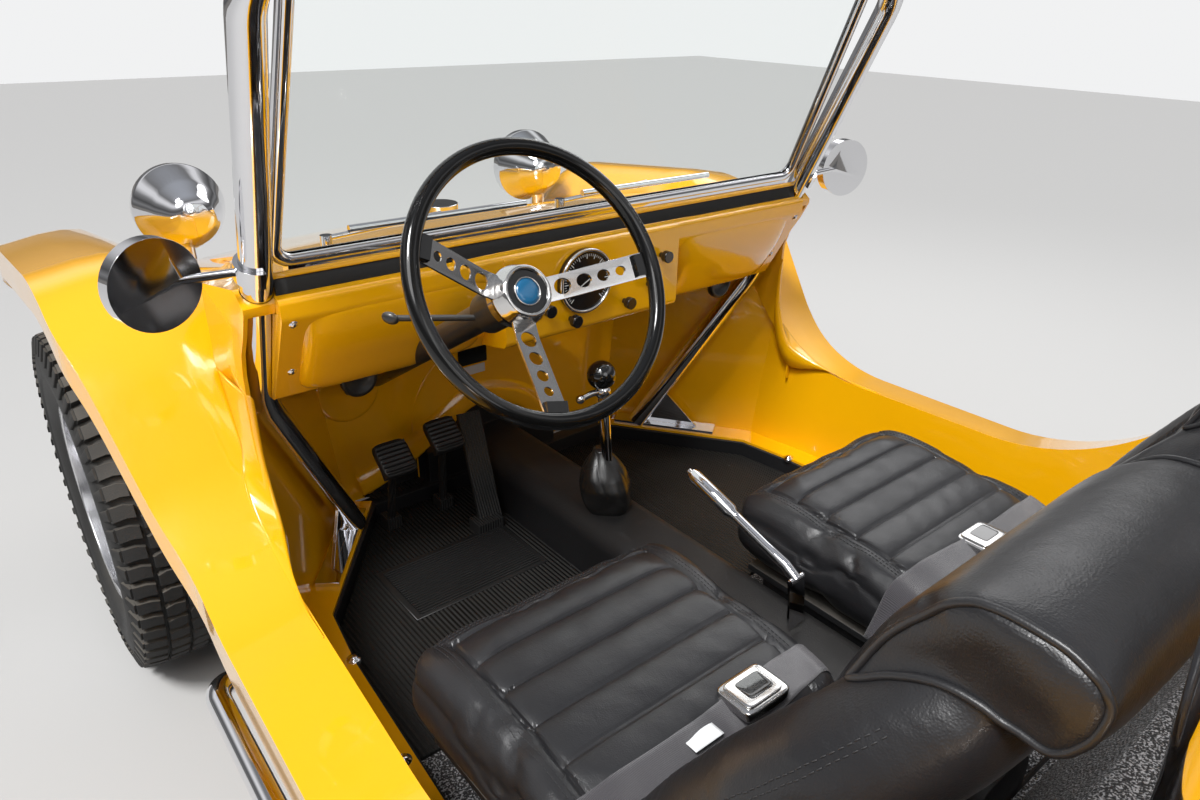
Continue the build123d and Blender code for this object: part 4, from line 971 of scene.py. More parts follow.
    def back_stitches(self, cover: Piece) -> Piece:
        """Double rows of thread down the outer sides of the back, on the cover."""
        v = np.arange(70.0, 500.0, self.stitch_pitch)
        line = np.array(self.stitch_line, float)
        half = np.interp(v, line[:, 0], line[:, 1]) + 4
        frames = []
        for sign in (-1, 1):
            for depth in (0.0, -8.0):
                edge = np.interp(v, [0, 150, 350, 480, 520], [8, 12, -2, -26, -34]) + depth
                local = np.column_stack([sign * half, edge, v])
                path, normal = self.on_cover(cover, local, 0.0003)
                along = np.gradient(path, axis=0)
                along /= np.linalg.norm(along, axis=1, keepdims=True)
                side = np.cross(normal, along)
                frames.append(np.stack([along, side, normal, path], axis=-1))
        return self.thread("back_stitches_left", np.concatenate(frames))

    @staticmethod
    def thread(name: str, frames: Array) -> Piece:
        """Short sunken threads at the given places, each along its frame's first axis."""
        t = np.array([-0.5, -0.25, 0.25, 0.5]) * 0.0048
        lift = np.array([-0.0004, 0.0004, 0.0004, -0.0004])
        circle = ring(0.0006, 6)
        points = np.stack([
            np.repeat(t, 6), np.tile(circle[:, 0], 4), np.repeat(lift, 6) + np.tile(circle[:, 1], 4)
        ], axis=1)
        return repeated(name, points, grid_faces(4, 6, close_v=True), frames)

    def stitches(self, cushion: Piece) -> Piece:
        """Double rows of thread beside the insert's seams, laid on the cover by casting rays down."""
        spacing = self.stitch_pitch
        end = self.insert_front + self.pitch * self.channels + 30
        lines: list[tuple[Array, Array, float]] = []
        for off in (10.0, 17.0):
            s = np.arange(self.insert_front - off, end, spacing)
            for side in (-1, 1):
                lines.append((np.full_like(s, side * (self.insert_half + off)), s, math.pi / 2))
            x = np.arange(-self.insert_half - off, self.insert_half + off, spacing)
            lines.append((x, np.full_like(x, self.insert_front - off), 0.0))
        frames = []
        tree = bvh(cushion)
        for xs, ss, angle in lines:
            for x, s in zip(xs, ss):
                origin = Vector(row(self.middle + float(x), float(s), DROP_FROM))
                hit, normal, _, _ = tree.ray_cast(origin, DOWN)
                if hit is None:
                    continue
                lean = Vector(UP).rotation_difference(normal).to_matrix()
                turn = lean @ Matrix.Rotation(angle, 3, "Z")
                frames.append(np.hstack([np.array(turn), np.array(hit + normal * 0.0003)[:, None]]))
        return self.thread("cushion_stitches_left", np.array(frames))

    def build(self) -> dict[str, Piece]:
        """Builds both seats; the right ones are the left ones mirrored."""
        cushion, back = self.cushion(), self.back()
        pieces = {
            "seat_cushion_left": cushion, "seat_cushion_right": mirrored(cushion, "seat_cushion_right_cover"),
            "seat_back_left": back, "seat_back_right": mirrored(back, "seat_back_right_cover"),
        }
        for node, piece in pieces.items():
            self.finishes.dress(piece, Slot.VINYL)
            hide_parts(node)
        trim = (
            (self.piping(back), "headrest_piping_right", "piping"),
            (self.stitches(cushion), "cushion_stitches_right", "stitch"),
            (self.back_stitches(back), "back_stitches_right", "stitch"),
        )
        for piece, name, extra in trim:
            twin = mirrored(piece, name)
            self.finishes.dress(piece, Slot.VINYL, extra)
            self.finishes.dress(twin, Slot.VINYL, extra)
        return pieces


def bvh(piece: Piece) -> BVHTree:
    """Search tree of a piece's faces."""
    mesh = piece.data
    mesh.calc_loop_triangles()
    tris = np.empty(len(mesh.loop_triangles) * 3, dtype=np.int32)
    mesh.loop_triangles.foreach_get("vertices", tris)
    return BVHTree.FromPolygons(coordinates(mesh).tolist(), tris.reshape(-1, 3).tolist())


@dataclass
class Belts:
    """Lap belts of flat webbing laid over the cushions, with plain bright buckles."""

    finishes: Finishes
    width: float = 47.0
    station: float = 1252.0
    buckles: tuple[float, float] = (243.0, -329.0)
    buckle_shells: tuple[tuple[Point, tuple[float, float]], ...] = (
        ((41, 31, 9), (0, 9)), ((33, 25, 3), (2, 18.2)), ((22, 16, 0.9), (-1, 21.0)),
    )
    squareness: float = 0.28
    tag_half: tuple[float, float] = (24.0, 19.0)
    tag_away: float = 96.0
    reach: tuple[float, float] = (585.0, 62.0)

    def strap(self, name: str, cover: Piece, start: float, end: float) -> Piece:
        """Strip whose points are cast down on the cushion and lifted 1.4 mm; past its edge it hangs.

        Args:
            name: name of the strip.
            cover: cushion that carries it.
            start: x where it leaves the gap beside the cushion.
            end: x of its other end.
        """
        tree = bvh(cover)
        x = np.linspace(start, end, 90)
        across = np.linspace(-self.width / 2, self.width / 2, 9)
        sway = 10.0 * np.sin((x - start) / (end - start) * math.pi * 1.3)
        grid = np.empty((90, 9, 3))
        for i in range(90):
            for j in range(9):
                s = self.station + across[j] + sway[i]
                hit, _, _, _ = tree.ray_cast(Vector(row(float(x[i]), float(s), DROP_FROM)), DOWN)
                grid[i, j] = (x[i], s, hit.z * 1000 if hit is not None else np.nan)
        z = grid[..., 2]
        reach = np.nanmax(z)
        z[np.isnan(z)] = reach - 95
        smooth = np.maximum(z, 0)
        for _ in range(14):
            smooth[1:-1] = np.maximum((smooth[:-2] + smooth[2:]) / 2, z[1:-1])
            smooth[:, 1:-1] = np.maximum((smooth[:, :-2] + smooth[:, 2:]) / 2, z[:, 1:-1])
        grid[..., 2] = smooth + 1.4
        return thickened(grid_object(name, rows(grid)), 0.0016, 1.0)

    def buckle(self, name: str, x: float, z: float) -> Piece:
        """Rounded box with a raised plate on its top and a blank dark inset.

        Each is a superellipsoid: half sizes times signed powers of the sines and cosines.
        """
        u = np.linspace(-math.pi / 2, math.pi / 2, 24)[:, None]
        v = np.linspace(0, 2 * math.pi, 48, endpoint=False)[None]
        flat, rise, left, ahead = (
            power(wave, self.squareness) for wave in (np.cos(u), np.sin(u), np.cos(v), np.sin(v))
        )
        unit = np.stack(np.broadcast_arrays(flat * left, flat * ahead, rise), axis=-1)
        shells = []
        for half, (shift, up) in self.buckle_shells:
            points = unit * half + (x + shift, self.station, z + up)
            shells.append(grid_object(name + "_shell", rows(points), close_v=True))
        inset = shells.pop()
        inset.name = name + "_inset"
        self.finishes.dress(inset, Slot.CHROME, "glossblack")
        return joined(name, shells)

    def build(self, covers: dict[str, Piece]) -> set[str]:
        """Two straps and a buckle for each seat."""
        for (side, label), x in zip(SIDES, self.buckles):
            cover = covers[f"seat_cushion_{label}"]
            strap = self.strap(f"lap_belt_{label}", cover, side * self.reach[0], side * self.reach[1])
            self.finishes.dress(strap, Slot.WEBBING)
            hit, _, _, _ = bvh(cover).ray_cast(Vector(row(x, self.station, DROP_FROM)), DOWN)
            top = hit.z * 1000 if hit is not None else 490.0
            piece = self.buckle(f"belt_buckle_{label}", x, top + 2.5)
            self.finishes.dress(piece, Slot.WEBBING, "spoke")
            plate = self.tag(f"belt_label_{label}", x + side * self.tag_away, top)
            self.finishes.dress(plate, Slot.WEBBING, "label")
            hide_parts("lap_belts")
        return {"lap_belts"}

    def tag(self, name: str, x: float, top: float) -> Piece:
        """Blank sewn tag, a thin slab on the strap."""
        u = np.linspace(-1, 1, 12)
        long, wide = self.tag_half
        px, py = np.meshgrid(x + long * u, self.station + wide * u, indexing="ij")
        grid = np.stack([px, py, np.full_like(px, top + 4.2)], axis=-1)
        return thickened(grid_object(name, rows(grid)), 0.0008, -1.0)


@dataclass
class SteeringWheel:
    """The wheel's own solid with a black rim and polished spokes, a hub ring and a plain disc.

    The centre is in millimetres; radii and places along the leaning axis are in metres.
    """

    finishes: Finishes
    centre: Point = (322.0, 917.0, 960.0)
    tilt: float = 30.7
    rim_from: float = 0.148
    section_from: float = 0.1625
    section_inner: float = 0.163
    slim: float = 0.8
    dish: float = 0.016
    dish_reach: float = 0.125
    boss: float = 0.0325
    boss_back: float = -0.0445
    hub_depth: float = -0.029
    collar: Profile = (
        (-0.024, 0.0425), (-0.019, 0.0420), (-0.010, 0.0390), (-0.003, 0.0368), (0.0026, 0.0352),
        (0.0042, 0.0335), (0.0040, 0.0305), (0.0015, 0.0290), (-0.003, 0.0288), (-0.024, 0.0400),
    )
    dome: Profile = (
        (0.0, 0.0), (0.0, 0.0175), (0.0012, 0.0173), (0.0026, 0.0130), (0.0032, 0.0070), (0.0034, 0.0),
    )
    bezel_radius: float = 0.0186
    bezel_wire: float = 0.0012

    def axis(self) -> Array:
        """Unit vector of the wheel's axis, from the column towards the driver."""
        tilt = math.radians(self.tilt)
        return np.array([0.0, math.cos(tilt), math.sin(tilt)])

    def build(self) -> set[str]:
        """Colours and slims the node's copy, and adds the hub's collar, disc and bezel.

        Returns:
            Names of the nodes that are replaced.
        """
        piece = SoftCopy("steering_wheel", self.finishes, bevel=0.0008).build()
        self.paint(piece.data)
        self.slim_rim(piece.data)
        axis = self.axis()
        hub = tuple(np.array(row(*self.centre)) + axis * (self.hub_depth - self.dish))
        wire = ring(self.bezel_wire, 12)
        bezel = np.stack([wire[:, 0] + self.bezel_wire, wire[:, 1] + self.bezel_radius], axis=1)
        for name, profile, count, hollow, extra in (
            ("hub_collar", np.array(self.collar), 64, True, "spoke"),
            ("hub_disc", np.array(self.dome), 48, False, "blue"),
            ("hub_bezel", bezel, 64, True, "spoke"),
        ):
            part = turned(name, profile, count, hub, tuple(axis), LEFT, hollow)
            self.finishes.dress(part, Slot.WHEEL, extra, "steering_wheel")
        return {"steering_wheel"}

    def paint(self, mesh: Mesh) -> None:
        """Sorts the faces by their distance from the axis: black rim and boss, polished spokes."""
        mesh.materials.append(self.finishes.extra["spoke"])
        axis = self.axis()
        away = gathered(mesh.polygons, "center") - np.array(row(*self.centre))
        along = away @ axis
        radial = np.linalg.norm(away - along[:, None] * axis, axis=1)
        index = np.where(radial > self.rim_from, 0, 1)
        index[(radial < self.boss) & (along > self.boss_back)] = 0
        mesh.polygons.foreach_set("material_index", index.astype(np.int32))

    def slim_rim(self, mesh: Mesh) -> None:
        """Draws the rim's section in about its centre circle, and sets the spokes deeper toward the hub.

        A rim point at radius r goes to m + slim (r - m), with m the middle of the section; its place
        along the axis shrinks as much. Inside the rim, a point goes deeper by dish times its share
        of the reach.
        """
        axis = self.axis()
        points = coordinates(mesh) - np.array(row(*self.centre))
        along = (points @ axis)[:, None]
        flat = points - along * axis
        radial = np.linalg.norm(flat, axis=1, keepdims=True)
        middle = (radial.max() + self.section_inner) / 2
        wanted = middle + (radial - middle) * self.slim
        rim = radial[:, 0] > self.section_from
        moved = flat / np.maximum(radial, 1e-6) * wanted + along * self.slim * axis
        deeper = np.clip((self.section_from - radial) / self.dish_reach, 0, 1) * self.dish * axis
        points -= np.where(rim[:, None], 0.0, deeper)
        points[rim] = moved[rim]
        place(mesh, points + np.array(row(*self.centre)))


@dataclass
class Tyre:
    """A tyre as a turned carcass with separate tread blocks, in place of its node."""

    finishes: Finishes
    node: str
    radius: float
    width: float
    pitches: int
    bead: float = 192.0
    depth: float = 9.5
    zigzag: float = 0.17
    stagger: float = 0.31
    lug_offset: float = 0.62
    crown_drop: float = 3.5
    shoulder_drop: float = 2.5
    taper: Profile = ((1.06, 12.5), (1.0, 1.4), (0.985, 0.6), (0.93, 0.0))

    def carcass(self, middle: Array) -> Piece:
        """Closed profile turned about the axle: crown, shoulder, bulged side with two ribs, bead."""
        half = self.width / 2
        r = self.radius - self.depth
        bead = self.bead
        side = np.array([
            (0, r), (half * 0.45, r - 0.5), (half * 0.74, r - 3), (half - 14, r - 9), (half - 5, r - 22),
            (half - 1.5, r - 42), (half - 0.5, r - 60), (half - 0.2, r - 74), (half - 3, r - 78),
            (half - 3, r - 84), (half - 7, r - 104), (half - 15, bead + 24), (half - 21, bead + 14),
            (half - 22.5, bead + 6), (half - 23, bead + 0.5), (half - 34, bead + 0.5), (half - 34, bead + 12),
            (half - 22, r - 84), (half - 30, r - 20), (0, r - 8),
        ])
        profile = np.vstack([side, side[::-1][1:-1] * (-1, 1)])
        return turned(self.node + "_carcass", profile / 1000, 160, tuple(middle), LEFT, UP, hollow=True)

    def outlines(self) -> list[Array]:
        """Centre, middle and shoulder block: axial place in millimetres, running place in pitches."""
        half = self.width / 2
        inner, outer = half * 0.56, half - 10
        return [
            np.array([(-14, -0.40), (6, -0.46), (15, -0.20), (14, 0.40), (-6, 0.46), (-15, 0.20)]),
            np.array([(20, -0.34), (half * 0.36, -0.42), (half * 0.50, -0.30), (half * 0.50, 0.28),
                      (half * 0.34, 0.38), (21, 0.30)]),
            np.array([(inner, -0.22), (half * 0.70, -0.36), (outer, -0.34), (outer, 0.36),
                      (half * 0.70, 0.30), (inner, 0.38)]),
        ]

    def block(self, outline: Array, sign: int, pitch: float) -> Array:
        """Rings of one block as (axial, running, radius), narrowed to its face on the rounded crown."""
        half = self.width / 2
        base = outline * (sign, pitch)
        if sign < 0:
            base = base[::-1]
        centre = base.mean(axis=0)
        rings = []
        for grow, drop in self.taper:
            flat = centre + (base - centre) * grow
            edge = np.abs(flat[:, 0]) / half
            crown = self.radius - drop - self.crown_drop * edge ** 3 - self.shoulder_drop * (edge > 0.85)
            rings.append(np.column_stack([flat, crown]))
        return np.vstack(rings)

    def lug(self, pitch: float) -> Array:
        """Rings of one side lug as (axial, running, radius), from the shoulder down the side wall."""
        half = self.width / 2
        running = np.array([-0.30, 0.26, 0.20, -0.24]) * pitch
        reach = self.radius - np.array([8.0, 8.0, 40.0, 40.0])
        proud = half - np.array([8.0, 8.0, 0.3, 0.3])
        return np.vstack([
            np.column_stack([proud - 6, running * 1.05, reach - 2]),
            np.column_stack([proud + 1.0, running, reach]),
            np.column_stack([proud + 2.0, running * 0.8, reach]),
        ])

    def wrapped(self, block: Array, shift: Array, middle: Array) -> Array:
        """Copies of a block round the tyre: (a, c, r) goes to the angle (c + shift) / radius."""
        angle = (block[None, :, 1] + shift[:, None]) / self.radius
        a = np.broadcast_to(block[None, :, 0], angle.shape)
        r = np.broadcast_to(block[None, :, 2], angle.shape)
        points = np.stack([a, r * np.sin(angle), r * np.cos(angle)], axis=-1) / 1000 + middle
        return points.reshape(-1, 3)

    def tread(self, middle: Array) -> Piece:
        """All blocks and side lugs as one mesh; the two sides run a zigzag apart."""
        pitch = 2 * math.pi * self.radius / self.pitches
        turns = np.arange(self.pitches)
        zig = pitch * self.zigzag
        block_faces = np.vstack([wall_faces(4, 6), [(18, 19, 20, 21), (18, 21, 22, 23)]])
        lug_faces = np.vstack([wall_faces(3, 4), [(8, 9, 10, 11)]])
        rows_of = []
        for number, outline in enumerate(self.outlines()):
            for sign in ((1,) if number == 0 else (1, -1)):
                shift = turns * pitch + sign * zig + number * pitch * self.stagger
                rows_of.append((self.block(outline, sign, pitch), block_faces, shift))
        for sign in (1, -1):
            shift = turns * pitch + pitch * self.lug_offset + sign * zig
            rows_of.append((self.lug(pitch) * (sign, 1, 1), lug_faces[:, ::sign], shift))
        points, faces, count = [], [], 0
        for block, corners, shift in rows_of:
            points.append(self.wrapped(block, shift, middle))
            faces.append((corners[None] + (turns * len(block) + count)[:, None, None]).reshape(-1, 4))
            count += len(block) * self.pitches
        piece = mesh_object(self.node + "_tread", np.vstack(points), np.vstack(faces))
        outward(piece, 1e-7)
        piece.data.set_sharp_from_angle(angle=math.radians(28))
        return piece

    def build(self) -> set[str]:
        """Carcass and blocks stand for the node and ride with its wheel."""
        low, high = (np.array(c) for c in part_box(self.node))
        middle = (low + high) / 2
        for piece in (self.carcass(middle), self.tread(middle)):
            self.finishes.dress(piece, Slot.TYRE, None, BODY_OF[self.node])
            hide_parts(self.node)
        return {self.node}


@dataclass
class FloorCovering:
    """Ribbed mats, the driver's ridged heel pad and speckled carpet, inside the cockpit's walls.

    The wall is the line of its foot in plan, as (left, behind the front axle) in millimetres.
    """

    finishes: Finishes
    wall: Profile = (
        (352.0, 235.0), (576.0, 540.0), (598.0, 690.0), (614.0, 924.0), (636.0, 1300.0), (639.3, 1500.0),
    )
    wall_gap: float = 59.0
    floor_z: float = 262.0
    lift: float = 0.3
    tunnel_x: float = 79.0
    toe: float = 244.0
    mat_end: float = 900.0
    mat_top: float = 6.0
    pad_box: tuple[float, float, float, float] = (110.0, 400.0, 455.0, 625.0)
    pad_top: float = 8.0
    ridges: int = 22
    ridge: Profile = ((-2.6, 0), (-1.6, 2.6), (1.6, 2.6), (2.6, 0))
    carpet_run: tuple[float, float, float] = (905.0, 1300.0, 1480.0)
    carpet_front_x: float = 548.0
    carpet_top: float = 7.0
    shelf: Profile = ((1492, 300.8), (1503, 304), (1593, 474), (1600, 477), (1868, 477))
    shelf_half: float = 496.0

    def inner_line(self) -> Array:
        """The wall's foot moved inwards by the gap, each point along the mean of its sides' normals."""
        line = np.array(self.wall)
        step = np.diff(line, axis=0)
        step /= np.linalg.norm(step, axis=1, keepdims=True)
        normal = np.stack([-step[:, 1], step[:, 0]], axis=1)
        before, after = np.vstack([normal[:1], normal]), np.vstack([normal, normal[-1:]])
        total = before + after
        return line + self.wall_gap * total / (1 + np.sum(before * after, axis=1, keepdims=True))

    def slab(self, name: str, outline: Array, low: float, high: float, extra: str) -> None:
        """Flat slab with a rounded upper edge: the outline drawn in towards its mean near the top.

        Args:
            name: name of the piece.
            outline: its edge in plan.
            low: height of its underside over the floor.
            high: height of its top over the floor.
            extra: its finish.
        """
        count = len(outline)
        away = outline - outline.mean(axis=0)
        away /= np.linalg.norm(away, axis=1, keepdims=True)
        base, top = self.floor_z + low, self.floor_z + high
        layers = [
            np.column_stack([outline - away * shrink, np.full(count, z)])
            for z, shrink in ((base, 0.0), (top - 1.5, 0.0), (top - 0.4, 1.0), (top, 2.5))
        ]
        faces = wall_faces(4, count).tolist()
        faces += [list(range(count))[::-1], [i + 3 * count for i in range(count)]]
        piece = mesh_object(name, rows(np.vstack(layers)), faces)
        outward(piece)
        piece.data.set_sharp_from_angle(angle=math.radians(40))
        self.finishes.dress(piece, Slot.PAN, extra)

    def mats(self) -> None:
        """Ribbed mats in both footwells, with the heel pad on the driver's side."""
        edge = self.inner_line()
        cut = np.interp(self.mat_end, edge[:, 1], edge[:, 0])
        front = edge[edge[:, 1] < self.mat_end]
        front[0, 1] = max(front[0, 1], self.toe)
        outline = np.vstack([
            [(self.tunnel_x, self.toe)], front, [(cut, self.mat_end), (self.tunnel_x, self.mat_end)],
        ])
        for side, label in SIDES:
            self.slab(f"floor_mat_{label}", outline * (side, 1), self.lift, self.mat_top, "mat")
        x0, x1, s0, s1 = self.pad_box
        border = np.array([(x0, s0), (x1, s0), (x1, s1), (x0, s1)])
        self.slab("heel_pad", border, self.mat_top, self.pad_top, "rubber_and_shade")

    def heel_ridges(self) -> None:
        """Ridges across the heel pad, one profile repeated along it."""
        x0, x1, s0, s1 = self.pad_box
        s = np.linspace(s0 + 14, s1 - 12, self.ridges)
        points = np.array([(x, c, h) for x in (x0 + 12, x1 - 12) for c, h in self.ridge])
        faces = np.array([(0, 1, 5, 4), (1, 2, 6, 5), (2, 3, 7, 6), (0, 4, 7, 3)])
        frames = np.zeros((self.ridges, 3, 4))
        frames[:, :, :3] = np.eye(3) * 0.001
        top = np.full(self.ridges, self.floor_z + self.pad_top)
        frames[:, :, 3] = rows(np.column_stack([np.zeros(self.ridges), s, top]))
        ridges = repeated("heel_pad_ridges", points, faces, frames)
        outward(ridges)
        self.finishes.dress(ridges, Slot.PAN, "rubber_and_shade")

    def carpet(self) -> None:
        """Speckled carpet on the rear floor, the riser and the shelf."""
        edge = self.inner_line()
        front, middle, rear = self.carpet_run
        x_at = float(np.interp(rear, edge[:, 1], edge[:, 0]))
        outline = np.array([
            (self.tunnel_x, front), (self.carpet_front_x, front), (x_at, middle), (x_at, rear),
            (self.tunnel_x, rear),
        ])
        for side, label in SIDES:
            self.slab(f"rear_floor_carpet_{label}", outline * (side, 1), self.lift, self.carpet_top, "carpet")
        path = sampled(self.shelf, 60)
        grid = np.empty((60, 40, 3))
        grid[..., 0] = np.linspace(-self.shelf_half, self.shelf_half, 40)
        grid[..., 1], grid[..., 2] = path[:, :1], path[:, 1:]
        sheet = thickened(grid_object("shelf_carpet", rows(grid)), 0.004, 1.0)
        self.finishes.dress(sheet, Slot.PAN, "carpet")

    def build(self) -> None:
        """All floor coverings."""
        self.mats()
        self.heel_ridges()
        self.carpet()


@dataclass
class Fastenings:
    """Domed bolts on the ledge and screws at the fascia's ends, on both sides."""

    finishes: Finishes
    ledge_z: float = 306.2
    ledge_bolts: Profile = ((354, 268), (486, 462), (545, 687), (577, 920), (602, 1180))
    bolt_radius: float = 11.5
    fascia_screws: tuple[Point, ...] = ((543, 625.5, 864), (538, 574.0, 773))
    fascia_out: Point = (0, 0.871, -0.49)
    screw_radius: float = 6.5
    dome: Profile = ((-0.5, 1.0), (0.10, 1.0), (0.14, 0.66), (0.34, 0.58), (0.52, 0.34), (0.56, 0.0))

    def build(self) -> None:
        """Turns the same domed head at every spot and joins them."""
        spots = []
        for side, _ in SIDES:
            for x, s in self.ledge_bolts:
                spots.append(((side * x, s, self.ledge_z), UP, self.bolt_radius))
            for x, s, z in self.fascia_screws:
                spots.append(((side * x, s, z), self.fascia_out, self.screw_radius))
        made = []
        for number, (spot, axis, radius) in enumerate(spots):
            head = np.array(self.dome) * radius / 1000
            made.append(turned(f"bolt_{number}", head, 20, row(*spot), axis, LEFT))
        bolts = joined("body_bolts", made)
        bolts.data.shade_smooth()
        self.finishes.dress(bolts, Slot.CHROME)


@dataclass
class Controls:
    """Lever boot, gear lever, hand brake, steering column and pedal pads."""

    finishes: Finishes
    boot_radius: Profile = (
        (0, 40), (0.05, 46), (0.2, 51), (0.42, 51), (0.62, 44), (0.8, 31), (0.93, 20), (1.0, 17),
    )
    boot_foot: tuple[float, float] = (674.0, 379.0)
    boot_height: float = 118.0
    boot_lean: float = 24.0
    stick: tuple[Point, ...] = ((0, 668, 478), (0, 662, 530), (0, 655, 590), (0, 650, 632))
    stick_radius: float = 0.0105
    ball: Point = (0, 646, 650)
    ball_radius: float = 0.0275
    cross: tuple[Point, ...] = ((54, 652, 618), (30, 652, 622), (0, 651, 620))
    cross_ends: tuple[tuple[Point, float], ...] = (((54, 652, 618), 0.0085), ((0, 651, 619), 0.0155))
    brake: tuple[Point, ...] = (
        (0, 1128, 474), (0, 1104, 488), (0, 1060, 501), (0, 1000, 520), (0, 990, 523), (0, 984, 525),
        (0, 900, 551), (0, 892, 553.5),
    )
    brake_swell: tuple[float, ...] = (1.0, 1.0, 0.9, 0.9, 0.9, 1.35, 1.35, 1.15)
    brake_radius: float = 9.2
    fork_half: float = 9.0
    fork: Profile = ((1126, 478), (1132, 440), (1136, 392))
    stalk_from: float = 362.0
    stalk_over: float = 800.0
    stalk_length: float = 88.0
    stalk_sweep: tuple[float, float] = (-0.058, 0.014)
    column_hole: Point = (322.0, 235.0, 555.0)
    column_collar: Profile = ((2.0, 66.0), (5.0, 64.0), (6.5, 58.0), (7.5, 40.0), (9.0, 24.0), (9.0, 0.0))
    pads: tuple[tuple[str, Point], ...] = (
        ("pad_clutch", (314.0, 405.0, 470.0)), ("pad_brake", (190.0, 376.0, 470.0)),
    )
    pad_size: tuple[float, float] = (36.0, 38.0)
    pad_out: Point = (0.0, 0.62, 0.784)
    pad_down: Point = (0.0, 0.784, -0.62)

    def boot(self) -> None:
        """Soft boot: a squarish cone whose radius swells and folds in leaning creases.

        Up the boot by u and round it by v, the radius is the smoothed table times
        1 + 0.06 cos 4v (1 - u), plus folds |sin(2.5 v + 2.2 u)|^0.6 and creases, both as sin(pi u).
        """
        u = np.linspace(0, 1, 80)
        v = np.linspace(0, 2 * math.pi, 144, endpoint=False)
        table = np.array(self.boot_radius)
        base = np.interp(u, table[:, 0], table[:, 1])
        base = np.convolve(np.pad(base, 4, mode="edge"), np.ones(9) / 9, "valid")
        square = 1 + 0.06 * np.cos(4 * v)[None] * (1 - u[:, None])
        rise = np.sin(math.pi * u[:, None]) ** 0.8
        folds = 3.4 * np.abs(np.sin(2.5 * v[None] + 2.2 * u[:, None])) ** 0.6 * rise
        creases = 1.3 * np.sin(9 * u[:, None] + 3.0 * np.sin(v)[None] + 2 * v[None]) * rise
        radius = base[:, None] * square + folds - 1.7 + creases
        foot_s, foot_z = self.boot_foot
        x = radius * np.cos(v)
        s = radius * np.sin(v) + foot_s - self.boot_lean * u[:, None]
        z = foot_z + self.boot_height * u[:, None] * np.ones_like(v)
        piece = grid_object("lever_boot_leather", rows(np.stack([x, s, z], axis=-1)), close_v=True, caps=True)
        self.finishes.dress(piece, Slot.BOOT)
        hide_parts("lever_boot")

    def levers(self) -> None:
        """Gear lever with its ball and cross knob, and the slim hand brake, in place of the node."""
        t = np.linspace(-math.pi / 2, math.pi / 2, 28)
        globe = np.column_stack([np.sin(t), np.cos(t)])
        parts = [bar("gear_stick", rows(self.stick), ring(self.stick_radius, 24), LEFT)]
        for centre, radius in self.cross_ends:
            parts.append(turned("knob_end", globe * radius, 24, row(*centre), UP, LEFT))
        parts.append(bar("knob_arm", rows(self.cross), ring(0.0062, 14)))
        swell = np.array(self.brake_swell)[:, None, None]
        grip = tube_grid(np.array(self.brake, float), ring(self.brake_radius, 24)[None] * swell)
        parts.append(grid_object("brake_lever", rows(grip), close_v=True, caps=True))
        parts.append(bar("brake_button", rows([(0, 893, 553), (0, 884, 556)]), ring(0.0048, 14)))
        strip = np.array([(-2.0, -9.0), (2.0, -9.0), (2.0, 9.0), (-2.0, 9.0)])
        for x in (-self.fork_half, self.fork_half):
            leg = np.array([(x, s, z) for s, z in self.fork], float)
            fork = rows(tube_grid(leg, strip, LEFT))
            parts.append(grid_object("brake_fork", fork, close_v=True, caps=True))
        parts.append(bar("brake_pin", rows([(-15, 1126, 474), (15, 1126, 474)]), ring(0.0055, 12)))
        metal = joined("hand_levers_metal", parts)
        metal.data.set_sharp_from_angle(angle=math.radians(38))
        self.finishes.dress(metal, Slot.CHROME)
        ball = turned("gear_ball", globe * self.ball_radius, 40, row(*self.ball), UP, LEFT)
        self.finishes.dress(ball, Slot.CHROME, "glossblack")
        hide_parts("hand_levers")
        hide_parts("hand_levers")

    def column(self) -> None:
        """Column with its stalk swept up towards the fascia, and a collar where it passes the wall."""
        piece = SoftCopy("steering_column", self.finishes, bevel=0.001).build()
        points = coordinates(piece.data)
        x, high = points[:, 0] * 1000, points[:, 2] * 1000
        share = np.clip((x - self.stalk_from) / self.stalk_length, 0, 1.1) * (high > self.stalk_over)
        ahead, up = self.stalk_sweep
        points[:, 1] += share * ahead
        points[:, 2] += share * up
        place(piece.data, points)
        profile = np.array(self.column_collar) / 1000
        collar = turned("column_collar", profile, 48, row(*self.column_hole), REAR, LEFT)
        self.finishes.dress(collar, Slot.BODY)

    def pedal_pads(self) -> None:
        """Ribbed rubber pads on the two hanging pedals: crowned sheets with corners drawn in."""
        out, down = np.array(self.pad_out), np.array(self.pad_down)
        wide, long = self.pad_size
        t = np.sin(np.linspace(-math.pi / 2, math.pi / 2, 57))
        u, v = np.meshgrid(t, t, indexing="ij")
        edge = (1 - np.abs(u) ** 10) ** 0.5 * (1 - np.abs(v) ** 10) ** 0.5
        ribs = 1.4 * np.cos(v * math.pi * 8.0) * (np.abs(u) < 0.84) * (np.abs(v) < 0.9)
        lift = 3.0 + 11.0 * edge + ribs
        across = (u * wide * (0.88 + 0.12 * (1 - np.abs(v) ** 5)))[..., None] * np.array(LEFT)
        along = (v * long * (0.88 + 0.12 * (1 - np.abs(u) ** 5)))[..., None] * down
        for name, middle in self.pads:
            points = np.array(middle) + across + along + lift[..., None] * out
            self.finishes.dress(faced(grid_object(name, rows(points)), self.pad_out), Slot.PEDAL, "rubber_and_shade")

    def build(self) -> set[str]:
        """All controls.

        Returns:
            Names of the nodes that are replaced.
        """
        self.boot()
        self.levers()
        self.column()
        self.pedal_pads()
        return {"lever_boot", "hand_levers", "steering_column"}


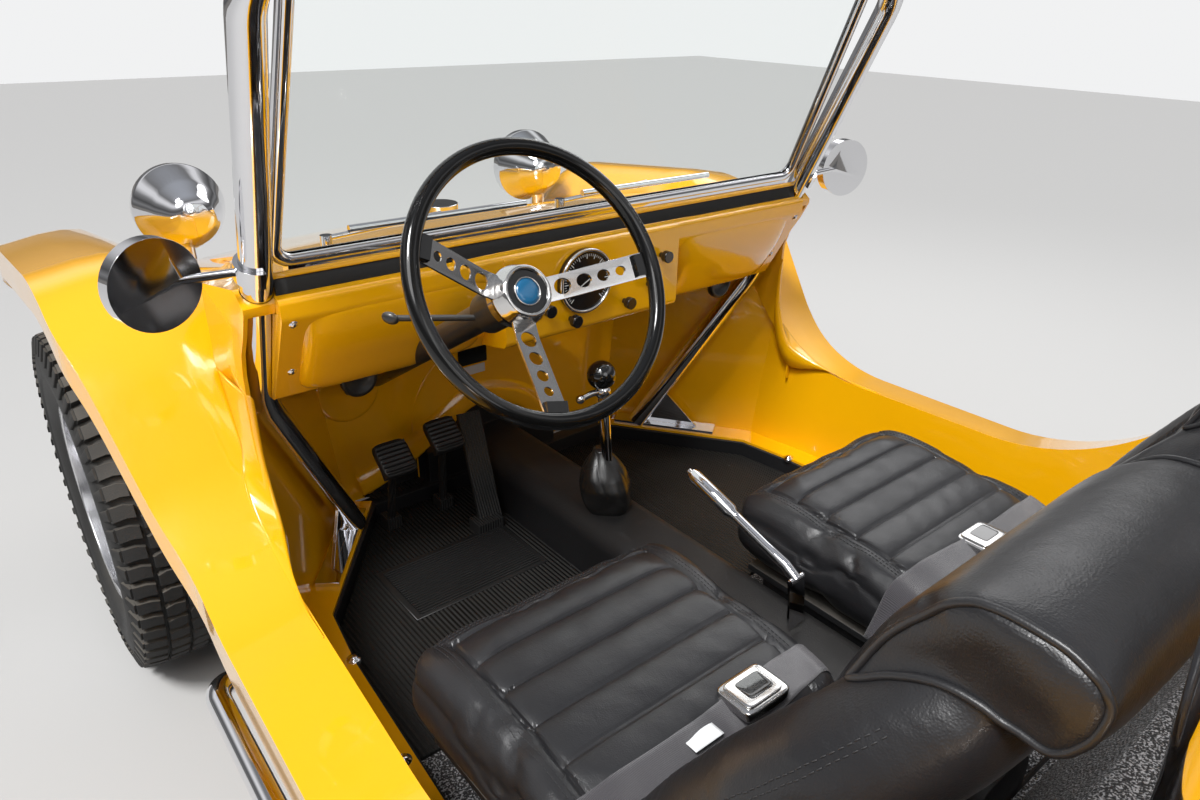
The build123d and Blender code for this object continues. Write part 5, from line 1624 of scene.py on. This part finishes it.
@dataclass
class Fascia:
    """Round gauge, swollen side panels, vents, blank plates and the strip under the screen."""

    finishes: Finishes
    gauge: Point = (34.0, 641.5, 836.0)
    gauge_radius: float = 0.0548
    tick_ring: float = 0.0485
    tick_count: int = 49
    tick_sweep: float = 135.0
    needle_angle: float = 118.0
    needle: tuple[Point, ...] = (
        (-0.0012, 0, -0.009), (0.0012, 0, -0.009), (0.0004, 0, 0.040), (-0.0004, 0, 0.040),
    )
    down: Point = (0.0, -0.4905, -0.8714)
    out: Point = (0.0, 0.8714, -0.4905)
    panel_top: Point = (0.0, 630.0, 872.0)
    panel_x: tuple[float, float] = (206.0, 526.0)
    panel_half: float = 84.0
    panel_swell: float = 21.0
    vent: Profile = ((-6, 0), (-6, 31), (4, 31), (6, 28), (6, 23), (2, 21), (2, 0))
    vent_at: Point = (421.0, 537.0, 718.0)
    plates: tuple[tuple[str, tuple[float, float], tuple[float, float], str], ...] = (
        ("plate_dark", (31.0, 561.0), (36.0, 20.0), "glossblack"),
        ("plate_light", (29.0, 527.0), (28.0, 10.0), "label"),
    )
    plate_faces: tuple[float, float] = (236.2, 238.4)
    strip_half: float = 554.0
    strip_station: float = 599.5
    strips: tuple[tuple[str, float, float, float, str | None], ...] = (
        ("screen_strip", 903.0, 927.0, 9.0, "rubber_and_shade"), ("screen_bead", 926.0, 934.0, 3.5, None),
    )

    def dial(self) -> None:
        """Bezel, ticks and needle on the round gauge."""
        centre = np.array(row(*self.gauge))
        wire = ring(0.0032, 12)
        band = np.stack([wire[:, 0] + 0.001, wire[:, 1] + self.gauge_radius], axis=1)
        bezel = turned("gauge_bezel", band, 72, tuple(centre), REAR, UP, hollow=True)
        self.finishes.dress(bezel, Slot.GAUGE, "spoke")
        angles = np.radians(np.linspace(-self.tick_sweep, self.tick_sweep, self.tick_count))
        major = np.arange(self.tick_count) % 4 == 0
        long, wide = np.where(major, 0.0085, 0.0045), np.where(major, 0.0016, 0.0009)
        sin, cos = np.sin(angles), np.cos(angles)
        frames = np.zeros((self.tick_count, 3, 4))
        frames[:, 0, 0], frames[:, 2, 0] = -cos * wide, -sin * wide
        frames[:, 0, 1], frames[:, 2, 1] = -sin * long, cos * long
        radius = self.tick_ring - long
        proud = np.full(self.tick_count, 0.0006)
        frames[:, :, 3] = centre + np.stack([-sin * radius, proud, cos * radius], axis=1)
        tick = np.array([(-0.5, 0, 0), (0.5, 0, 0), (0.5, 1, 0), (-0.5, 1, 0)])
        ticks = repeated("gauge_ticks", tick, np.array([(0, 1, 2, 3)]), frames)
        self.finishes.dress(ticks, Slot.GAUGE, "dial")
        turn = np.array(Matrix.Rotation(math.radians(self.needle_angle), 3, "Y"))
        points = np.array(self.needle) @ turn.T + centre + (0, 0.0014, 0)
        self.finishes.dress(mesh_object("gauge_needle", points, [[0, 1, 2, 3]]), Slot.GAUGE, "dial")

    def panels(self) -> None:
        """Rounded side panels swelling from the fascia.

        Across by u and down by v, the lift is swell (1 - |u|^7)^0.5 times the ends' ease; both edges
        are drawn in a little towards the corners.
        """
        down, out = np.array(self.down), np.array(self.out)
        inner, outer = self.panel_x
        half = self.panel_half
        t = np.sin(np.linspace(-math.pi / 2, math.pi / 2, 61))
        u, v = np.meshgrid(t, t, indexing="ij")
        ends = np.where(v < 0, np.cos(math.pi / 2 * np.abs(v)) ** 0.7, (1 - np.abs(v) ** 5) ** 0.5)
        lift = self.panel_swell * (1 - np.abs(u) ** 7) ** 0.5 * ends - 2.5
        x = (inner + outer) / 2 + u * (outer - inner) / 2 * (0.93 + 0.07 * (1 - np.abs(v) ** 6))
        run = half + v * half * (0.92 + 0.08 * (1 - np.abs(u) ** 6))
        points = np.array(self.panel_top) + run[..., None] * down + lift[..., None] * out
        for side, label in SIDES:
            points[..., 0] = side * x
            panel = faced(grid_object(f"fascia_panel_{label}", rows(points)), self.out)
            self.finishes.dress(panel, Slot.BODY)

    def vents(self) -> None:
        """Round vents under the fascia, facing the rear."""
        x, s, z = self.vent_at
        for side, label in SIDES:
            disc = turned(f"vent_{label}", np.array(self.vent) / 1000, 48, row(side * x, s, z), REAR, LEFT)
            self.finishes.dress(disc, Slot.BODY, "rubber_and_shade")

    def blank_plates(self) -> None:
        """Two blank plates on the front wall, each a thin box."""
        for name, (x, z), (w, h), extra in self.plates:
            outline = ((-w, -h), (w, -h), (w, h), (-w, h))
            points = [(x + a, s, z + b) for s in self.plate_faces for a, b in outline]
            faces = [[3, 2, 1, 0], [4, 5, 6, 7], *wall_faces(2, 4).tolist()]
            plate = mesh_object(name, rows(points), faces)
            outward(plate)
            plate.data.set_sharp_from_angle(angle=math.radians(30))
            self.finishes.dress(plate, Slot.BODY, extra)

    def screen_strip(self) -> None:
        """Dark rubber strip along the screen's foot, with a painted bead over it.

        Each section is a flat oval that leans rearwards towards its foot; the dark strip's foot
        also drops towards its ends.
        """
        x = np.linspace(-self.strip_half, self.strip_half, 60)[:, None]
        t = np.linspace(0, 2 * math.pi, 20, endpoint=False)[None]
        for name, low, high, lean, extra in self.strips:
            half = (high - low) / 2
            rise = power(np.sin(t), 0.5) * half
            foot = 1 - (rise + half) / (2 * half)
            grid = np.zeros((60, 20, 3))
            grid[..., 0] = x
            grid[..., 1] = self.strip_station + np.cos(t) * 3.2 + lean * foot
            grid[..., 2] = (low + high) / 2 + rise - 12 * (x / 620) ** 2 * foot * (extra is not None)
            strip = grid_object(name, rows(grid), close_v=True, caps=True)
            self.finishes.dress(strip, Slot.BODY, extra)

    def build(self) -> None:
        """All pieces of the fascia."""
        self.dial()
        self.screen_strip()
        self.panels()
        self.vents()
        self.blank_plates()


@dataclass
class FrontWall:
    """Front wall drawn down over the tunnel, with the raised band round the pedal opening."""

    finishes: Finishes
    station: float = 235.5
    edge: Profile = (
        (316, 306), (280, 314), (238, 329), (180, 355), (122, 391), (61, 428), (29, 441), (-11, 437),
        (-52, 422), (-93, 399), (-118, 366), (-128, 320), (-129, 262),
    )
    band: Profile = (
        (-2, -8), (0, -2), (1, 4), (3, 7.5), (8, 9.5), (18, 10), (30, 10), (38, 9), (43, 6), (48, 3),
        (53, 1.2), (58, 0.4),
    )
    arch_middle: float = 418.0
    arch_radius: float = 191.0
    arch_half: float = 189.0
    # Outline of the dark sheet of painted shade that stands for the shadow in the pedal opening
    opening: Profile = ((316, 300), (280, 313), (238, 328), (184, 352), (184, 300))
    flap: Profile = ((318, 237), (184, 237), (184, 268), (300, 268))
    flap_z: float = 307.0

    def raised_band(self, line: Array) -> None:
        """Band outside the edge: its section (away from the edge, out of the wall) carried along it."""
        step = np.gradient(line, axis=0)
        step /= np.linalg.norm(step, axis=1, keepdims=True)
        normal = np.column_stack([step[:, 1], -step[:, 0]])
        away, proud = np.array(self.band, float).T
        flat = line[:, None] + normal[:, None] * away[None, :, None]
        grid = np.empty((len(line), len(away), 3))
        grid[..., 0], grid[..., 2] = flat[..., 0], flat[..., 1]
        grid[..., 1] = self.station - 0.1 + proud[None]
        self.finishes.dress(faced(grid_object("toe_band", rows(grid)), REAR), Slot.BODY)

    def wall(self, line: Array) -> None:
        """Sheet between the edge and the arch of the wall over the tunnel."""
        x = np.linspace(-self.arch_half, self.arch_half, 120)
        low = np.interp(x, line[::-1, 0], line[::-1, 1])
        low[x < -128] = 262
        top = self.arch_middle + np.sqrt(np.maximum(self.arch_radius ** 2 - x ** 2, 0))
        w = np.linspace(0, 1, 24)
        sheet = np.empty((120, 24, 3))
        sheet[..., 0], sheet[..., 1] = x[:, None], self.station
        sheet[..., 2] = (low + 6)[:, None] * (1 - w) + np.maximum(top, low + 8)[:, None] * w
        wall = thickened(faced(grid_object("toe_wall", rows(sheet)), REAR), 0.003, -1.0)
        self.finishes.dress(wall, Slot.BODY)

    def build(self) -> None:
        """Band, wall, a dark sheet of painted shade in the pedal opening and the mat's flap under it."""
        line = sampled(self.edge, 110, 12)
        self.raised_band(line)
        self.wall(line)
        # The opening's dark sheet is painted shade: it stands for the shadow in the opening and hides the
        # floor beyond
        opening = [(x, self.station + 0.7, z) for x, z in self.opening]
        flap = [(x, s, self.flap_z) for x, s in self.flap]
        for name, points, way, extra in (
            ("pedal_opening_painted_shade", opening, REAR, "rubber_and_shade"), ("toe_mat", flap, UP, "mat"),
        ):
            sheet = mesh_object(name, rows(points), [list(range(len(points)))])
            self.finishes.dress(faced(sheet, way), Slot.BODY, extra)


@dataclass
class BodyShell:
    """The body moulding's own solid with its rims rounded like a laid-up edge."""

    finishes: Finishes
    rim: float = 0.016
    side_plate: float = 0.596
    side_edge: Profile = (
        (612, 885), (594, 850), (570, 814), (560, 780), (559, 714), (560, 657), (574, 603), (598, 554),
        (612, 538), (612, 470),
    )
    wing_edge: tuple[Point, ...] = (
        (606, 430, 748), (606, 462, 700), (609, 511, 638), (627, 548, 597), (627, 617, 546), (628, 681, 519),
        (632, 766, 504), (634, 840, 503),
    )
    door_edge: tuple[Point, ...] = (
        (603, 560, 748), (603, 560, 700), (603, 563, 648), (602, 578, 598), (603, 603, 554), (612, 650, 533),
        (622, 700, 517), (631, 766, 505.5), (634, 840, 503),
    )
    roll: tuple[Point, ...] = (
        (-2.5, 3.0, -1.0), (-5.5, 3.5, -4.5), (-8.0, 2.0, -10.0), (-9.0, 0.0, -20.0), (-9.5, -3.0, -46.0),
    )

    def build(self) -> set[str]:
        """Marks rim edges, between a roof face and a steep outer face, and rounds them widely."""
        piece = SoftCopy("body_tub", self.finishes, bevel=0.0, angle=26.0).build()
        with opened(piece.data) as bm:
            layer = bm.edges.layers.float.new("bevel_weight_edge")
            for edge in bm.edges:
                if len(edge.link_faces) != 2:
                    continue
                a, b = (face.normal for face in edge.link_faces)
                if edge.calc_face_angle(0.0) < math.radians(35) or not edge.is_convex:
                    continue
                high, low = max(a.z, b.z), min(abs(a.z), abs(b.z))
                middle = (edge.verts[0].co + edge.verts[1].co) / 2
                if high > 0.25 and low < 0.45 and middle.z > 0.34:
                    edge[layer] = 1.0
        bevel = piece.modifiers.new("rounded_rim", "BEVEL")
        bevel.width = self.rim
        bevel.segments = 4
        bevel.limit_method = "WEIGHT"
        bevel.use_clamp_overlap = True
        self.trim_cowl()
        for side, label in SIDES:
            self.shoulder(side, label)
        return {"body_tub", "hood_cowl"}

    def trim_cowl(self) -> None:
        """Cowl whose turned-down sides end on the door edge's line, not square."""
        piece = SoftCopy("hood_cowl", self.finishes, bevel=0.004).build()
        line = np.array(self.side_edge)
        with opened(piece.data) as bm:
            for height in line[:, 1]:
                whole = bm.verts[:] + bm.edges[:] + bm.faces[:]
                cut = (0, 0, height / 1000)
                bmesh.ops.bisect_plane(bm, geom=whole, plane_co=cut, plane_no=UP, dist=1e-5)
            for vert in bm.verts:
                if abs(vert.co.x) < self.side_plate:
                    continue
                limit = AXLE_Y + np.interp(vert.co.z * 1000, line[::-1, 1], line[::-1, 0]) / 1000
                vert.co.y = min(vert.co.y, limit)
            bmesh.ops.remove_doubles(bm, verts=bm.verts, dist=2e-5)
        piece.data.set_sharp_from_angle(angle=math.radians(32))

    def shoulder(self, side: int, label: str) -> None:
        """Rounded strip from the wing's inner edge up to the door edge, rolled over into the cockpit."""
        a, b = sampled(self.wing_edge, 90, 25), sampled(self.door_edge, 90, 25)
        w = np.array([0.0, 0.15, 0.3, 0.45, 0.6, 0.75, 0.9, 1.0])[None, :, None]
        sheet = a[:, None] * (1 - w) + b[:, None] * w
        sheet[..., 0] += 2.0 * np.sin(math.pi * w[..., 0]) + 1.0
        fade = 1 - smoothstep(0.5, 0.8, np.linspace(0, 1, 90))
        lip = b[:, None] + np.array(self.roll)[None] * fade[:, None, None]
        grid = np.concatenate([sheet, lip], axis=1)
        grid[..., 0] *= side
        piece = grid_object(f"shoulder_{label}", rows(grid))
        middle = piece.data.polygons[len(piece.data.polygons) // 2 - 4]
        if middle.normal.x * side < 0:
            piece.data.flip_normals()
        self.finishes.dress(thickened(piece, 0.002, -1.0), Slot.BODY)


@dataclass
class Studio:
    """Pale floor, plain light and the camera at the photograph's place."""

    eye: Point = (928.0, 1759.0, 1291.5)
    yaw: float = 39.75
    pitch: float = 25.55
    roll: float = 1.13
    focal_px: float = 856.4
    frame_px: float = 1200.0
    sensor: float = 36.0
    sun_power: float = 3.3
    sun_width: float = 14.0
    sun_way: Point = (-0.55, -0.25, -1.0)
    fill: float = 0.36
    floor_half: float = 14.0
    lights: tuple[tuple[Point, Point, float, float], ...] = (
        ((2.2, 1.0, 3.4), (0.1, -0.3, 0.5), 2.0, 48.0),
        ((-2.6, -1.4, 3.0), (0.0, 0.0, 0.5), 2.4, 30.0),
        ((0.4, 3.6, 2.4), (0.0, 0.0, 0.6), 2.4, 22.0),
    )
    walls: Profile = (
        (0.04, 0.10), (0.12, 0.22), (0.22, 0.08), (0.36, 0.22), (0.50, 0.80), (0.58, 0.80), (0.70, 0.20),
    )

    def camera(self) -> None:
        """Camera with fwd = (-sin yaw cos pitch, -cos yaw cos pitch, -sin pitch), then rolled."""
        yaw, pitch, roll = (math.radians(a) for a in (self.yaw, self.pitch, self.roll))
        fwd = Vector((-math.sin(yaw) * math.cos(pitch), -math.cos(yaw) * math.cos(pitch), -math.sin(pitch)))
        right = fwd.cross(Vector((0, 0, 1))).normalized()
        up = right.cross(fwd)
        right2 = math.cos(roll) * right + math.sin(roll) * up
        up2 = -math.sin(roll) * right + math.cos(roll) * up
        data = bpy.data.cameras.new("photo_camera")
        data.sensor_width = self.sensor
        data.sensor_fit = "HORIZONTAL"
        data.lens = self.focal_px * self.sensor / self.frame_px
        data.clip_start = 0.02
        camera = linked("photo_camera", data)
        turn = Matrix((right2, up2, -fwd)).transposed().to_4x4()
        camera.matrix_world = Matrix.Translation(Vector(row(*self.eye))) @ turn
        bpy.context.scene.camera = camera

    def light(self) -> None:
        """A wide soft sun, area lamps and the pale room."""
        sun = bpy.data.lights.new("soft_sun", "SUN")
        sun.energy = self.sun_power
        sun.angle = math.radians(self.sun_width)
        high = linked("soft_sun", sun)
        high.rotation_euler = Vector(self.sun_way).to_track_quat("-Z", "Y").to_euler()
        for index, (spot, aim, size, energy) in enumerate(self.lights):
            data = bpy.data.lights.new(f"soft_{index}", "AREA")
            data.shape = "DISK"
            data.size = size
            data.energy = energy
            lamp = linked(f"soft_{index}", data)
            lamp.location = spot
            lamp.rotation_euler = (Vector(aim) - Vector(spot)).to_track_quat("-Z", "Y").to_euler()
        self.room()

    def room(self) -> None:
        """World: plain light, a flat pale wall for the camera and glass, and for gloss a ramp in height.

        The ramp runs from the dark floor over the walls' bright band to the ceiling.
        """
        world = bpy.data.worlds.new("pale_room")
        bpy.context.scene.world = world
        world.use_nodes = True
        tree = world.node_tree
        path = add(tree, "LightPath")
        lit = tree.nodes["Background"]
        lit.inputs["Color"].default_value = (0.93, 0.95, 1.0, 1)
        lit.inputs["Strength"].default_value = self.fill
        seen = add(tree, "Background", {"Color": (0.88, 0.885, 0.89, 1)})
        shown = add(tree, "Background")
        where = add(tree, "TexCoord")
        split = add(tree, "SeparateXYZ")
        shade = add(tree, "ValToRGB")
        ramp = shade.color_ramp.elements
        ramp[0].position, ramp[1].position = 0.0, 1.0
        ramp[0].color, ramp[1].color = (0.22, 0.21, 0.20, 1), (0.40, 0.42, 0.46, 1)
        for spot, grey in self.walls:
            ramp.new(spot).color = (grey, grey, grey * 1.02, 1)
        rays = add(tree, "Math", operation="MAXIMUM")
        glossy, direct = add(tree, "MixShader"), add(tree, "MixShader")
        wire(tree, [
            (where, "Generated", split, 0), (split, "Z", shade, "Fac"), (shade, "Color", shown, "Color"),
            (path, "Is Camera Ray", rays, 0), (path, "Is Transmission Ray", rays, 1),
            (path, "Is Glossy Ray", glossy, "Fac"), (lit, 0, glossy, 1), (shown, 0, glossy, 2),
            (rays, 0, direct, "Fac"), (glossy, 0, direct, 1), (seen, 0, direct, 2),
            (direct, 0, tree.nodes["World Output"], "Surface"),
        ])

    def floor(self) -> None:
        """Wide pale floor under the wheels."""
        size = self.floor_half
        corners = np.array([(-size, -size, 0), (size, -size, 0), (size, size, 0), (-size, size, 0)], float)
        floor = mesh_object("floor", corners, [[0, 1, 2, 3]])
        mat, _ = principled("floor_pale", {"Base Color": (0.50, 0.495, 0.485, 1), "Roughness": 0.8})
        floor.data.materials.append(mat)

    def build(self) -> None:
        """Camera, lamps and floor."""
        self.camera()
        self.light()
        self.floor()
        bpy.context.scene.view_settings.view_transform = "Standard"


@dataclass
class Bodywork:
    """Nodes that keep their solid's shape."""

    finishes: Finishes
    bevels: tuple[tuple[str, float], ...] = (("dashboard", 0.006), ("headlights", 0.001), ("engine", 0.001))
    bevel: float = 0.0012
    left_alone: tuple[str, ...] = ("windscreen_glass",)

    def build(self, replaced: set[str]) -> None:
        """Dresses every node that no other class replaces."""
        bevels = dict(self.bevels)
        for node in NODES:
            if node in self.left_alone:
                NODES[node].material_slots[0].material = self.finishes.by_slot[SLOT_OF[node]]
            elif node not in replaced:
                SoftCopy(node, self.finishes, bevels.get(node, self.bevel)).build()


def main() -> None:
    """Builds the studio and each sub-assembly in order."""
    logging.basicConfig(level=logging.INFO)
    finishes = Finishes()
    Studio().build()
    LOG.info("studio built")
    replaced: set[str] = set()
    covers = Seats(finishes).build()
    replaced |= set(covers)
    LOG.info("seats built")
    replaced |= Belts(finishes).build(covers)
    replaced |= SteeringWheel(finishes).build()
    LOG.info("belts and steering wheel built")
    for side in ("left", "right"):
        replaced |= Tyre(finishes, f"tyre_front_{side}", 350.0, 213.0, 58).build()
        replaced |= Tyre(finishes, f"tyre_rear_{side}", 385.0, 263.0, 62).build()
    LOG.info("tyres built")
    FloorCovering(finishes).build()
    Fastenings(finishes).build()
    Fascia(finishes).build()
    FrontWall(finishes).build()
    replaced |= Controls(finishes).build()
    LOG.info("cockpit trim built")
    replaced |= BodyShell(finishes).build()
    Bodywork(finishes).build(replaced)
    LOG.info("bodywork built")


if __name__ == "__main__":
    main()
